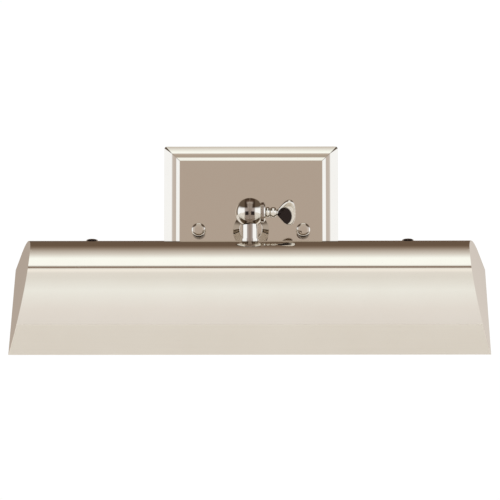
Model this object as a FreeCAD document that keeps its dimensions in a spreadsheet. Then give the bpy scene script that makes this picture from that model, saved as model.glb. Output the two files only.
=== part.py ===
"""Picture light: a tilting hood on a ball knuckle, carried by a straight arm from a square back plate.

Millimetres.  +X is to the viewer's right, +Y points into the wall, +Z is up.  The origin lies on the
wall, at the centre of the back plate's rear plane, so the whole light stands at y < 0.
"""
import FreeCAD, Part
import math
import os
import Sketcher

Vector = FreeCAD.Vector
Placement = FreeCAD.Placement
Rotation = FreeCAD.Rotation

# ---------------------------------------------------------------------------------------------
# Driving dimensions: one row of the spreadsheet each
# ---------------------------------------------------------------------------------------------
SIZES = [
    ("plate_width", 117.0, "side of the square back plate"),
    ("plate_side", 9.5, "straight depth of the back plate's rim"),
    ("band_radius", 4.7, "radius of the rounded outer band"),
    ("ledge_width", 3.3, "flat ledge inside the band"),
    ("step_width", 2.45, "sloping step up to the face"),
    ("step_rise", 2.3, "height of the step up to the face"),
    ("plate_wall", 1.5, "sheet thickness of the back plate"),
    ("strap_thickness", 1.8, "steel of the wall strap"),
    ("strap_arm_width", 20.0, "width of each arm of the strap"),
    ("strap_margin", 9.0, "between the strap's ends and the inside of the plate"),
    ("strap_opening", 26.0, "diameter of the wiring hole in the strap"),
    ("box_screw_spacing", 79.4, "between the slots for the wall-box screws"),
    ("box_slot_width", 4.8, "width of each slot"),
    ("box_slot_length", 14.3, "end-to-end length of each slot"),
    ("stud_spacing", 69.85, "between the two studs that hold the plate"),
    ("stud_diameter", 4.0, "stud thread"),
    ("stud_fit", 0.05, "radial clearance of a stud in its thread"),
    ("stud_hole_gap", 0.4, "radial clearance of a stud in the plate"),
    ("cap_nut_diameter", 9.5, "round cap nut"),
    ("cap_nut_height", 8.0, "cap nut standing off the plate"),
    ("cap_nut_crown", 1.6, "height of its rounded end"),
    ("cap_nut_front", 5.89, "diameter of its flat front"),
    ("cap_nut_room", 0.2, "air over the end of the stud inside a cap nut"),
    ("lock_nut_across", 7.0, "small hexagon nuts, across flats"),
    ("lock_nut_height", 2.6, "small hexagon nuts, height"),
    ("ground_screw_drop", 6.0, "ground screw, below the strap's wiring hole"),
    ("boss_diameter", 24.0, "round boss where the arm leaves the plate"),
    ("boss_depth", 11.0, "boss standing off the plate"),
    ("boss_rim", 4.0, "straight rim of the boss"),
    ("boss_nose", 15.0, "diameter of the boss at the arm"),
    ("arm_wall", 1.0, "wall of the arm tube"),
    ("tube_fit", 0.05, "radial clearance of the nipple and spigot in the arm tube"),
    ("arm_reach", 105.5, "from the wall to the centre of the knuckle"),
    ("nipple_diameter", 9.0, "threaded nipple and spigot in the arm tube"),
    ("nipple_wall", 1.0, "wall of the nipple and spigot"),
    ("nipple_grip", 12.0, "thread engaged in the arm tube"),
    ("nipple_nut_across", 14.0, "nipple nuts, across flats"),
    ("nipple_nut_height", 3.2, "nipple nuts, height"),
    ("washer_thickness", 0.8, "lock washers"),
    ("nipple_washer_diameter", 15.0, "lock washers on the nipples"),
    ("ball_diameter", 19.0, "knuckle ball"),
    ("split_gap", 0.1, "seam between the two halves of the knuckle"),
    ("ball_flat_depth", 2.2, "how far the flat cuts into the ball's right side"),
    ("ball_relief", 0.3, "air between each neck and the other half"),
    ("ball_wall", 2.5, "wall of the knuckle round its hollow, at the seam"),
    ("cavity_depth", 4.5, "hollow of the knuckle, depth in each half"),
    ("screw_boss_diameter", 6.2, "boss round the clamp screw"),
    ("washer_recess", 0.45, "half of the room for the friction washer"),
    ("washer_inset", 0.2, "friction washer, smaller than the boss beside it"),
    ("bore_entry", 2.0, "how far each wiring bore reaches into the knuckle's hollow"),
    ("neck_length", 13.0, "from the ball's centre to the end of the arm tube"),
    ("clamp_diameter", 4.0, "thread of the clamp screw"),
    ("clamp_fit", 0.04, "radial clearance of the clamp screw in its thread"),
    ("clamp_hole_gap", 0.3, "radial clearance of the clamp screw in the hood half"),
    ("clamp_grip", 6.5, "thread engaged past the seam"),
    ("clamp_room", 0.3, "air past the end of the clamp screw"),
    ("collar_diameter", 13.2, "clamp collar"),
    ("collar_width", 2.5, "clamp collar, along the screw"),
    ("collar_gap", 0.05, "air between the collar and its neighbours"),
    ("bead_diameter", 7.2, "first bead of the thumb screw"),
    ("bead_width", 3.0, "first bead, along the screw"),
    ("second_bead_diameter", 7.0, "second bead of the thumb screw"),
    ("second_bead_width", 4.2, "second bead, along the screw"),
    ("thumb_length", 12.3, "flat thumb grip, along the screw"),
    ("thumb_height", 17.2, "flat thumb grip, across"),
    ("thumb_thickness", 3.2, "flat thumb grip, thickness"),
    ("thumb_dish", 0.9, "depth of the dish in each side of the grip"),
    ("thumb_turn", 25.0, "degrees that the grip leans at rest"),
    ("post_diameter", 10.5, "post between the knuckle and the hood"),
    ("post_wall", 2.25, "wall of the post round its wiring bore"),
    ("post_drop", 18.5, "from the ball's centre down to the hood"),
    ("foot_flare", 0.65, "how far the foot of the post stands out all round"),
    ("foot_height", 1.1, "height of the foot"),
    ("foot_gap", 0.02, "air between the foot and the hood"),
    ("saddle_width", 18.0, "saddle under the hood's top, along and across"),
    ("saddle_depth", 3.4, "saddle under the hood's top, at its thickest"),
    ("stub_fit", 0.1, "radial clearance of the post's stub in hood and saddle"),
    ("stub_end", 1.2, "stub showing past its nut"),
    ("hood_width", 305.0, "length of the hood at its opening"),
    ("hood_opening", 81.8, "opening of the hood, front edge to rear edge"),
    ("hood_height", 37.5, "height of the hood's curve over its opening"),
    ("hood_corner", 23.3, "radius of the hood's rear shoulder"),
    ("hood_wall", 1.0, "sheet thickness of the hood"),
    ("hood_tilt", 48.0, "degrees that the opening is tipped toward the wall"),
    ("end_lean", 18.3, "degrees that the end caps lean inwards"),
    ("cap_wall", 1.2, "sheet thickness of the end caps"),
    ("cap_flange", 4.0, "depth of the end caps' inner flange"),
    ("cap_fit", 0.05, "air between the flange and the hood"),
    ("bracket_spacing", 203.0, "between the two screws on top of the hood"),
    ("bracket_thickness", 1.5, "steel of the lampholder brackets"),
    ("bracket_width", 16.0, "width of the lampholder brackets"),
    ("bracket_reach", 9.0, "from the bracket's screw to its hanging tab"),
    ("bracket_tail", 8.0, "from the bracket's screw to the end of its flange"),
    ("bracket_fit", 0.05, "air between the bracket and the hood"),
    ("screw_diameter", 4.0, "small screws"),
    ("screw_head_diameter", 7.6, "small screws, head"),
    ("screw_head_height", 1.7, "small screws, head"),
    ("screw_gap", 0.15, "radial clearance of a small screw in sheet"),
    ("holder_diameter", 25.0, "lampholder"),
    ("holder_length", 30.0, "lampholder"),
    ("holder_floor", 8.0, "rear wall of the lampholder"),
    ("holder_screw_grip", 6.2, "lampholder screw, engaged length"),
    ("holder_screw_room", 0.4, "air past the end of the lampholder screw"),
    ("lamp_play", 0.2, "radial clearance of the lamp's cap in the screw shell"),
    ("shell_wall", 0.5, "screw shell of the lampholder, sheet"),
    ("shell_length", 18.0, "screw shell of the lampholder"),
    ("shell_inset", 2.0, "screw shell, below the lampholder's mouth"),
    ("shell_fit", 0.05, "air round the screw shell"),
    ("contact_stroke", 2.4, "height of the centre contact"),
    ("lamp_cap_diameter", 13.9, "screw cap of the lamp"),
    ("lamp_cap_length", 20.0, "screw cap of the lamp, without its skirt"),
    ("lamp_skirt_diameter", 17.0, "skirt of the lamp's cap"),
    ("lamp_skirt_length", 5.5, "skirt of the lamp's cap"),
    ("lamp_tip_height", 3.4, "insulator and contact under the lamp's cap"),
    ("lamp_glass_diameter", 20.0, "tubular glass"),
    ("lamp_glass_wall", 0.7, "glass thickness"),
    ("lamp_length", 85.0, "whole lamp"),
    ("stem_gap", 0.1, "air between the lamp's glass stem and its cap"),
    ("stem_rim", 0.6, "thick rim at the foot of the glass stem"),
    ("stem_taper", 4.0, "length over which the stem narrows"),
    ("stem_foot_radius", 2.2, "glass stem, above its taper"),
    ("stem_top_radius", 1.8, "glass stem, at its top"),
    ("support_wire_radius", 0.25, "wires that carry the filament"),
    ("support_wire_offset", 1.2, "each support wire, off the lamp's axis"),
    ("support_wire_grip", 0.5, "support wire inside the glass stem"),
    ("filament_gap", 4.0, "from the glass stem to the filament"),
    ("filament_radius", 0.7, "filament coil"),
    ("filament_drop", 0.1, "filament coil, under the lamp's axis"),
    ("lead_diameter", 1.5, "each insulated lead"),
    ("connector_side", 16.0, "wire connectors, to the side of the plate's centre"),
    ("connector_mouth", 27.0, "wire connectors, plate's centre to their mouths"),
    ("connector_grip", 4.0, "lead inside its wire connector"),
    ("connector_length", 18.0, "wire connector"),
    ("connector_diameter", 8.0, "wire connector, at its mouth"),
]

doc = FreeCAD.newDocument("picture_light")
sheet = doc.addObject("Spreadsheet::Sheet", "size")
for row, (alias, number, meaning) in enumerate(SIZES, start=1):
    sheet.set("A%d" % row, alias)
    sheet.set("B%d" % row, str(number))
    sheet.set("C%d" % row, meaning)
    sheet.setAlias("B%d" % row, alias)
doc.recompute()

nodes = []


def value(text):
    """The number that an expression on the sheet gives now."""
    return float(sheet.evalExpression(text))


def size(alias):
    """The number in one cell of the sheet."""
    return float(sheet.get(alias))


# ---------------------------------------------------------------------------------------------
# Places that several sub-parts share, as expressions on the sheet
# ---------------------------------------------------------------------------------------------
ARM_BORE = "(size.nipple_diameter + 2 * size.tube_fit)"
ARM_DIAMETER = "(%s + 2 * size.arm_wall)" % ARM_BORE
NIPPLE_BORE = "(size.nipple_diameter - 2 * size.nipple_wall)"
POST_BORE = "(size.post_diameter - 2 * size.post_wall)"
SHELL_INNER = "(size.lamp_cap_diameter + 2 * size.lamp_play)"
BALL_FLAT_X = "(size.ball_diameter / 2 - size.ball_flat_depth)"
HOLLOW_RADIUS = "(size.ball_diameter / 2 - size.ball_wall)"
FACE_Y = "-(size.plate_side + size.band_radius + size.step_rise)"
FACE_INSIDE_Y = "(%s + size.plate_wall)" % FACE_Y
BOSS_NOSE_Y = "(%s - size.boss_depth)" % FACE_Y
KNUCKLE_Y = "-size.arm_reach"
TUBE_END_Y = "(size.neck_length - size.arm_reach)"
HOOD_TOP_Z = "-size.post_drop"
LAMP_Z = "-(size.post_drop + size.hood_corner)"
UNDER_HOOD_Z = "(-size.post_drop - size.hood_wall)"
SADDLE_BASE_Z = "(-size.post_drop - size.hood_wall - size.saddle_depth)"
POST_NUT_Z = "(%s - size.washer_thickness - size.nipple_nut_height)" % SADDLE_BASE_Z
TAB_INNER_X = "(size.bracket_spacing / 2 + size.bracket_reach - size.bracket_thickness)"
TAB_OUTER_X = "(size.bracket_spacing / 2 + size.bracket_reach)"
HOLDER_MOUTH_X = "(%s - size.holder_length)" % TAB_INNER_X
HOLDER_FLOOR_X = "(%s - size.holder_floor)" % TAB_INNER_X
LAMP_BACK_X = "(%s - size.contact_stroke)" % HOLDER_FLOOR_X
LAMP_TIP_X = "(%s - size.lamp_length)" % LAMP_BACK_X
GROUND_Z = "(-size.strap_opening / 2 - size.ground_screw_drop)"

# Proportions of the thumb screw's turned beads and of its flat grip
BEAD_NECK = 0.8
BEAD_ROUND = 0.3
SECOND_BEAD_FRONT = 0.35
WAIST_SHARE = 2.8
GRIP_NECK = 0.14
GRIP_SHOULDER = 0.62
GRIP_END = 0.36
GRIP_CORNER = 0.22
GRIP_RIM = 0.3
DISH_RADIUS = 0.38
DISH_PLACE = 0.58

# ---------------------------------------------------------------------------------------------
# Ways of making a piece
# ---------------------------------------------------------------------------------------------
ALONG = {
    "X": Rotation(Vector(0, 1, 0), 90),
    "Y": Rotation(Vector(1, 0, 0), -90),
    "Z": Rotation(),
}
TURNING = {"X": ("XY_Plane", "H_Axis"), "Y": ("XY_Plane", "V_Axis"), "Z": ("XZ_Plane", "V_Axis")}


def place(piece, at):
    """Bind an object's position to three expressions."""
    for axis, text in zip("xyz", at):
        if text != "0":
            piece.setExpression("Placement.Base." + axis, text)


def node(piece, label):
    """Name a finished sub-part and keep it for writing."""
    piece.Label = label
    nodes.append(piece)
    return piece


def primitive(kind, name, at=("0", "0", "0"), along="Z", **sizes):
    """A Part primitive whose sizes are expressions, its own Z axis laid along a row axis."""
    piece = doc.addObject("Part::" + kind, name)
    for property_name, text in sizes.items():
        piece.setExpression(property_name, text)
    piece.Placement = Placement(Vector(), ALONG[along])
    place(piece, at)
    return piece


def fuse(name, *pieces):
    joined = doc.addObject("Part::MultiFuse", name)
    joined.Shapes = list(pieces)
    joined.Refine = True
    return joined


def common(name, *pieces):
    shared = doc.addObject("Part::MultiCommon", name)
    shared.Shapes = list(pieces)
    return shared


def cut(name, base, *tools):
    """Take one or more tools away from a base."""
    result = doc.addObject("Part::Cut", name)
    result.Base = base
    result.Tool = tools[0] if len(tools) == 1 else fuse(name + "_tools", *tools)
    return result


def side_block(name, side, edge, at):
    """A block that fills one side of the plane x = edge, round the knuckle's centre."""
    reach = "size.ball_diameter * 3"
    start = edge if side > 0 else "%s - %s" % (edge, reach)
    corner = (start, "%s - %s / 2" % (at[1], reach), "%s - %s / 2" % (at[2], reach))
    return primitive("Box", name, corner, Length=reach, Width=reach, Height=reach)


def outline(body, name, plane, corners, offset=None):
    """A closed sketch of straight lines whose corners are pairs of expressions."""
    sketch = body.newObject("Sketcher::SketchObject", name)
    support = [f for f in body.Origin.OriginFeatures if f.Role == plane][0]
    sketch.AttachmentSupport = [(support, "")]
    sketch.MapMode = "FlatFace"
    if offset:
        sketch.setExpression("AttachmentOffset.Base.z", offset)
    points = [(value(across), value(up)) for across, up in corners]
    count = len(points)
    for index, (across, up) in enumerate(points):
        after = points[(index + 1) % count]
        sketch.addGeometry(Part.LineSegment(Vector(across, up, 0), Vector(after[0], after[1], 0)), False)
    for index in range(count):
        sketch.addConstraint(Sketcher.Constraint("Coincident", index, 2, (index + 1) % count, 1))
    for index, (texts, point) in enumerate(zip(corners, points)):
        for kind, text, number in zip(("DistanceX", "DistanceY"), texts, point):
            constraint = sketch.addConstraint(Sketcher.Constraint(kind, -1, 1, index, 1, number))
            sketch.setExpression("Constraints[%d]" % constraint, text)
    return sketch


def circle_sketch(body, name, plane, centre, radius, offset=None):
    """A sketch of one circle, its centre and radius bound to expressions."""
    sketch = body.newObject("Sketcher::SketchObject", name)
    support = [f for f in body.Origin.OriginFeatures if f.Role == plane][0]
    sketch.AttachmentSupport = [(support, "")]
    sketch.MapMode = "FlatFace"
    if offset:
        sketch.setExpression("AttachmentOffset.Base.z", offset)
    middle = Vector(value(centre[0]), value(centre[1]), 0)
    sketch.addGeometry(Part.Circle(middle, Vector(0, 0, 1), value(radius)), False)
    for kind, text, number in zip(("DistanceX", "DistanceY"), centre, middle):
        constraint = sketch.addConstraint(Sketcher.Constraint(kind, -1, 1, 0, 3, number))
        sketch.setExpression("Constraints[%d]" % constraint, text)
    constraint = sketch.addConstraint(Sketcher.Constraint("Radius", 0, value(radius)))
    sketch.setExpression("Constraints[%d]" % constraint, radius)
    return sketch


def turned(name, axis, corners, at=("0", "0", "0"), turn="360"):
    """A body turned about a row axis.  Corners are (x, radius) about X, else (radius, height)."""
    body = doc.addObject("PartDesign::Body", name)
    plane, reference = TURNING[axis]
    sketch = outline(body, name + "_profile", plane, corners)
    feature = body.newObject("PartDesign::Revolution", name + "_turned")
    feature.Profile = (sketch, [""])
    feature.ReferenceAxis = (sketch, [reference])
    feature.setExpression("Angle", turn)
    place(body, at)
    return body


def add_pad(body, sketch, length, reverse=False, both_ways=False):
    pad = body.newObject("PartDesign::Pad", sketch.Name + "_pad")
    pad.Profile = (sketch, [""])
    pad.setExpression("Length", length)
    pad.Reversed = reverse
    pad.Midplane = both_ways
    return pad


def add_pocket(body, sketch, length, reverse=False, both_ways=False):
    """Cut a pocket and make sure that it took something away."""
    doc.recompute()
    before = body.Shape.Volume
    pocket = body.newObject("PartDesign::Pocket", sketch.Name + "_pocket")
    pocket.Profile = (sketch, [""])
    pocket.setExpression("Length", length)
    pocket.Reversed = reverse
    pocket.Midplane = both_ways
    doc.recompute()
    if body.Shape.Volume > before * 0.999999:
        raise RuntimeError(sketch.Name + ": the pocket cuts nothing")
    return pocket


def round_edges(body, name, radius, chosen):
    """Fillet the edges of a body's present shape that a test picks out."""
    doc.recompute()
    base = body.Tip
    names = ["Edge%d" % (i + 1) for i, edge in enumerate(base.Shape.Edges) if chosen(edge)]
    fillet = body.newObject("PartDesign::Fillet", name)
    fillet.Base = (base, names)
    fillet.setExpression("Radius", radius)
    return fillet


def mirrored(name, source):
    """The same piece on the other side of the light."""
    twin = doc.addObject("Part::Mirroring", name)
    twin.Source = source
    twin.Normal = (1, 0, 0)
    return twin


def pair(label, source):
    """Two identical fasteners, left and right, in one node."""
    group = doc.addObject("Part::Compound", label)
    group.Links = [source, mirrored(label + "_left", source)]
    return node(group, label)


def left_and_right(stem, source):
    """A sub-part on the right and its mirror image on the left, each in its own node."""
    node(source, stem + "_right")
    node(mirrored(stem + "_left", source), stem + "_left")


def ring(name, axis, outer, inner, low, high, at=("0", "0", "0")):
    """A plain ring between two heights along its axis; outer and inner are diameters."""
    radii = ("(%s) / 2" % inner, "(%s) / 2" % outer)
    if axis == "X":
        corners = [(low, radii[0]), (high, radii[0]), (high, radii[1]), (low, radii[1])]
    else:
        corners = [(radii[0], low), (radii[0], high), (radii[1], high), (radii[1], low)]
    return turned(name, axis, corners, at)


def hexagon_nut(name, axis, across, height, bore, at):
    """A hexagon nut; at is the centre of its lower face."""
    corner_radius = "%s / 2 / cos(30 deg)" % across
    blank = primitive("Prism", name + "_blank", at, axis, Circumradius=corner_radius, Height=height)
    blank.Polygon = 6
    hole = primitive("Cylinder", name + "_hole", at, axis, Radius="(%s) / 2" % bore, Height=height)
    return cut(name, blank, hole)


# ---------------------------------------------------------------------------------------------
# Back plate, strap and their fasteners
# ---------------------------------------------------------------------------------------------
def square(body, name, side, offset):
    """A centred square sketch facing the room, at a height over the wall."""
    half = "(%s) / 2" % side
    corners = [("-" + half, "-" + half), (half, "-" + half), (half, half), ("-" + half, half)]
    return outline(body, name, "XZ_Plane", corners, offset)


def back_plate():
    """Square pan with a rounded band, a ledge and a sloping step up to its flat face."""
    body = doc.addObject("PartDesign::Body", "back_plate_blank")
    band_top = "size.plate_side + size.band_radius"
    ledge_side = "size.plate_width - 2 * size.band_radius - 2 * size.ledge_width"
    add_pad(body, square(body, "pan", "size.plate_width", "0"), band_top)
    front_y = -value(band_top)
    round_edges(body, "band", "size.band_radius",
                lambda edge: all(abs(corner.Y - front_y) < 1e-6 for corner in edge.Vertexes))
    face_side = "(%s - 2 * size.step_width)" % ledge_side
    step = primitive("Wedge", "step", ("0", "0", "0"))
    half_foot = "(%s) / 2" % ledge_side
    half_face = "%s / 2" % face_side
    for low, high, text in (("Xmin", "Xmax", half_foot), ("Zmin", "Zmax", half_foot),
                            ("X2min", "X2max", half_face), ("Z2min", "Z2max", half_face)):
        step.setExpression(low, "-(%s)" % text)
        step.setExpression(high, text)
    step.setExpression("Ymin", "0")
    step.setExpression("Ymax", "size.step_rise")
    step.Placement = Placement(Vector(), Rotation(Vector(1, 0, 0), 180))
    place(step, ("0", "-(%s)" % band_top, "0"))
    wide = "size.plate_width - 2 * size.plate_wall"
    narrow = "%s - 2 * size.plate_wall" % face_side
    hollow_depth = "%s - size.plate_wall" % band_top
    hollow = primitive("Box", "pan_hollow", ("-(%s) / 2" % wide, "-size.plate_side", "-(%s) / 2" % wide),
                       Length=wide, Width="size.plate_side", Height=wide)
    raised = primitive("Box", "face_hollow", ("-(%s) / 2" % narrow, FACE_INSIDE_Y, "-(%s) / 2" % narrow),
                       Length=narrow, Width="-" + FACE_INSIDE_Y, Height=narrow)
    middle_side = "size.plate_width - 2 * size.band_radius - 2 * size.plate_wall"
    middle = primitive("Box", "band_hollow",
                       ("-(%s) / 2" % middle_side, "-(%s)" % hollow_depth, "-(%s) / 2" % middle_side),
                       Length=middle_side, Width=hollow_depth, Height=middle_side)
    hole_depth = "size.plate_wall * 4"
    hole_start = "%s - size.plate_wall" % FACE_Y
    nipple_hole = primitive("Cylinder", "nipple_hole", ("0", hole_start, "0"), "Y",
                            Radius="size.nipple_diameter / 2 + size.stub_fit", Height=hole_depth)
    stud_holes = [
        primitive("Cylinder", "stud_hole", ("%s * size.stud_spacing / 2" % side, hole_start, "0"), "Y",
                  Radius="size.stud_diameter / 2 + size.stud_hole_gap", Height=hole_depth)
        for side in ("-1", "1")
    ]
    node(cut("plate_pan", fuse("plate_solid", body, step), hollow, raised, middle, nipple_hole,
             *stud_holes), "back_plate")


def mounting_strap():
    """Steel cross behind the plate: slots for the wall box up and down, studs left and right."""
    body = doc.addObject("PartDesign::Body", "mounting_strap")
    end = "(size.plate_width / 2 - size.plate_wall - size.strap_margin)"
    side = "(size.strap_arm_width / 2)"
    quarter = [(end, side), (side, side), (side, end)]
    cross = []
    for sign_x, sign_z in ((1, 1), (-1, 1), (-1, -1), (1, -1)):
        corners = quarter if sign_x == sign_z else quarter[::-1]
        cross += [("%d * %s" % (sign_x, across), "%d * %s" % (sign_z, up)) for across, up in corners]
    add_pad(body, outline(body, "strap_cross", "XZ_Plane", cross), "size.strap_thickness")
    stud_hole = "size.stud_diameter / 2 + size.stud_fit"
    holes = [
        ("wiring_hole", ("0", "0"), "size.strap_opening / 2"),
        ("right_stud", ("size.stud_spacing / 2", "0"), stud_hole),
        ("left_stud", ("-size.stud_spacing / 2", "0"), stud_hole),
        ("ground_hole", ("0", GROUND_Z), "size.screw_diameter / 2 + size.stud_fit"),
    ]
    for name, centre, radius in holes:
        sketch = circle_sketch(body, name, "XZ_Plane", centre, radius)
        add_pocket(body, sketch, "size.strap_thickness", reverse=True)
    half_run = "(size.box_slot_length - size.box_slot_width) / 2"
    for name, sign in (("upper", "1"), ("lower", "-1")):
        height = "%s * size.box_screw_spacing / 2" % sign
        half_width = "size.box_slot_width / 2"
        low = "%s - %s" % (height, half_run)
        high = "%s + %s" % (height, half_run)
        straight = [("-" + half_width, low), (half_width, low), (half_width, high), ("-" + half_width, high)]
        add_pocket(body, outline(body, name + "_slot", "XZ_Plane", straight),
                   "size.strap_thickness", reverse=True)
        for which, end_sign in (("_slot_top", "+"), ("_slot_foot", "-")):
            centre = ("0", "%s %s %s" % (height, end_sign, half_run))
            sketch = circle_sketch(body, name + which, "XZ_Plane", centre, half_width)
            add_pocket(body, sketch, "size.strap_thickness", reverse=True)
    node(body, "mounting_strap")


def plate_fasteners():
    """Studs from the strap through the plate, their lock nuts, the cap nuts and the ground screw."""
    stud_x = "size.stud_spacing / 2"
    tip_y = "%s - size.cap_nut_height + size.cap_nut_crown * 1.5" % FACE_Y
    stud = primitive("Cylinder", "stud", (stud_x, tip_y, "0"), "Y",
                     Radius="size.stud_diameter / 2", Height="-(%s)" % tip_y)
    pair("strap_studs", stud)
    nut_y = "-(size.strap_thickness + size.lock_nut_height)"
    bore = "size.stud_diameter + 2 * size.stud_fit"
    nut = hexagon_nut("stud_nut", "Y", "size.lock_nut_across", "size.lock_nut_height", bore,
                      (stud_x, nut_y, "0"))
    pair("stud_lock_nuts", nut)
    front = "%s - size.cap_nut_height" % FACE_Y
    shoulder = "%s + size.cap_nut_crown" % front
    floor_y = "%s - size.cap_nut_room" % tip_y
    outer = "size.cap_nut_diameter / 2"
    corners = [("0", front), ("size.cap_nut_front / 2", front), (outer, shoulder), (outer, FACE_Y),
               ("(%s) / 2" % bore, FACE_Y), ("(%s) / 2" % bore, floor_y), ("0", floor_y)]
    pair("cap_nuts", turned("cap_nut", "Y", corners, (stud_x, "0", "0")))

    head_y = "-(size.strap_thickness + size.screw_head_height)"
    shank = "size.screw_diameter / 2"
    head = "size.screw_head_diameter / 2"
    corners = [("0", "0"), (shank, "0"), (shank, "-size.strap_thickness"), (head, "-size.strap_thickness"),
               (head, head_y), ("0", head_y)]
    node(turned("ground_screw_body", "Y", corners, ("0", "0", GROUND_Z)), "ground_screw")


# ---------------------------------------------------------------------------------------------
# Arm
# ---------------------------------------------------------------------------------------------
def arm():
    """Boss, nipple with its nut and washer, and the arm tube."""
    bore = "size.nipple_diameter / 2 + size.stub_fit"
    rim_y = "%s - size.boss_rim" % FACE_Y
    corners = [(bore, FACE_Y), ("size.boss_diameter / 2", FACE_Y), ("size.boss_diameter / 2", rim_y),
               ("size.boss_nose / 2", BOSS_NOSE_Y), (bore, BOSS_NOSE_Y)]
    node(turned("arm_boss_body", "Y", corners), "arm_boss")

    washer_y = "%s + size.washer_thickness" % FACE_INSIDE_Y
    nut_y = "(%s + size.nipple_nut_height)" % washer_y
    node(ring("nipple_washer", "Y", "size.nipple_washer_diameter", "size.nipple_diameter + 2 * size.stub_fit",
              FACE_INSIDE_Y, washer_y), "arm_lock_washer")
    node(hexagon_nut("nipple_nut", "Y", "size.nipple_nut_across", "size.nipple_nut_height",
                     "size.nipple_diameter + 2 * size.stud_fit", ("0", washer_y, "0")), "arm_lock_nut")
    node(ring("nipple", "Y", "size.nipple_diameter", NIPPLE_BORE,
              "%s - size.nipple_grip" % BOSS_NOSE_Y, "%s + size.stub_end" % nut_y), "arm_nipple")
    node(ring("arm_tube_body", "Y", ARM_DIAMETER, ARM_BORE, TUBE_END_Y, BOSS_NOSE_Y), "arm_tube")


# ---------------------------------------------------------------------------------------------
# Knuckle
# ---------------------------------------------------------------------------------------------
CENTRE = ("0", KNUCKLE_Y, "0")


def half_ball(name, side, flat=None):
    """Half of the ball, on one side of the seam, cut off at its flat if it has one."""
    ball = primitive("Sphere", name + "_ball", CENTRE, Radius="size.ball_diameter / 2")
    edge = "%d * size.split_gap / 2" % side
    half = common(name + "_half", ball, side_block(name + "_side", side, edge, CENTRE))
    if flat is None:
        return half
    return cut(name + "_flattened", half, side_block(name + "_flat", side, flat, CENTRE))


def trimmed_neck(name, side, neck):
    """A neck whose far side makes room for the other half of the ball."""
    relief = primitive("Sphere", name + "_relief", CENTRE, Radius="size.ball_diameter / 2 + size.ball_relief")
    edge = "%d * size.split_gap / 2" % side
    room = common(name + "_room", relief, side_block(name + "_room_side", -side, edge, CENTRE))
    return cut(name + "_trimmed", neck, room)


def knuckle_hollow(name, side):
    """Ring-shaped hollow round the clamp screw, with the recess for the friction washer."""
    reach = "size.cavity_depth"
    start = "0" if side > 0 else "-" + reach
    outer = primitive("Cylinder", name + "_outer", (start, KNUCKLE_Y, "0"), "X",
                      Radius=HOLLOW_RADIUS, Height=reach)
    boss_length = "size.cavity_depth - size.washer_recess"
    boss_start = "size.washer_recess" if side > 0 else "-" + reach
    boss = primitive("Cylinder", name + "_boss", (boss_start, KNUCKLE_Y, "0"), "X",
                     Radius="size.screw_boss_diameter / 2", Height=boss_length)
    return cut(name + "_ring", outer, boss)


def knuckle_arm_half():
    """Left half of the knuckle, with the spigot that holds the arm tube."""
    neck = primitive("Cylinder", "arm_neck", CENTRE, "Y", Radius=ARM_DIAMETER + " / 2",
                     Height="size.neck_length")
    spigot = primitive("Cylinder", "arm_spigot", ("0", TUBE_END_Y, "0"), "Y",
                       Radius="size.nipple_diameter / 2", Height="size.nipple_grip")
    bore_start = "%s + %s - size.bore_entry" % (KNUCKLE_Y, HOLLOW_RADIUS)
    bore = primitive("Cylinder", "arm_neck_bore", ("0", bore_start, "0"), "Y",
                     Radius=NIPPLE_BORE + " / 2", Height="size.neck_length + size.nipple_grip")
    thread_length = "(size.clamp_grip + size.clamp_room)"
    thread = primitive("Cylinder", "clamp_thread", ("-" + thread_length, KNUCKLE_Y, "0"), "X",
                       Radius="size.clamp_diameter / 2 + size.clamp_fit", Height=thread_length)
    solid = fuse("arm_half_solid", half_ball("arm_half", -1), trimmed_neck("arm_neck_side", -1, neck), spigot)
    node(cut("arm_half_hollow", solid, bore, knuckle_hollow("arm_hollow", -1), thread), "knuckle_arm_half")


def knuckle_hood_half():
    """Right half of the knuckle, with the post, its foot and the stub that goes into the hood."""
    drop = "size.post_drop + size.hood_wall"
    post = primitive("Cylinder", "post", ("0", KNUCKLE_Y, "-(%s)" % drop), Radius="size.post_diameter / 2",
                     Height=drop)
    foot = primitive("Cylinder", "post_foot", ("0", KNUCKLE_Y, "-(%s)" % drop),
                     Radius="size.post_diameter / 2 + size.foot_flare",
                     Height="size.hood_wall + size.foot_height")
    hood_round = primitive("Cylinder", "post_seat", ("-size.post_drop", KNUCKLE_Y, LAMP_Z), "X",
                           Radius="size.hood_corner + size.foot_gap", Height="2 * size.post_drop")
    seated = cut("post_on_hood", fuse("post_with_foot", post, foot), hood_round)
    stub_length = "-(%s) + size.stub_end - size.post_drop" % POST_NUT_Z
    stub = primitive("Cylinder", "post_stub", ("0", KNUCKLE_Y, "%s - size.stub_end" % POST_NUT_Z),
                     Radius="size.nipple_diameter / 2", Height=stub_length + " + size.foot_height")
    bore_length = "-(%s) + size.stub_end - %s + size.bore_entry" % (POST_NUT_Z, HOLLOW_RADIUS)
    bore = primitive("Cylinder", "post_wiring_bore", ("0", KNUCKLE_Y, "%s - size.stub_end" % POST_NUT_Z),
                     Radius=POST_BORE + " / 2", Height=bore_length)
    hole = primitive("Cylinder", "clamp_hole", ("0", KNUCKLE_Y, "0"), "X",
                     Radius="size.clamp_diameter / 2 + size.clamp_hole_gap", Height="size.ball_diameter")
    solid = fuse("hood_half_solid", half_ball("hood_half", 1, BALL_FLAT_X),
                 trimmed_neck("post_side", 1, seated), stub)
    node(cut("hood_half_hollow", solid, bore, knuckle_hollow("hood_hollow", 1), hole), "knuckle_hood_half")


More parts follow.
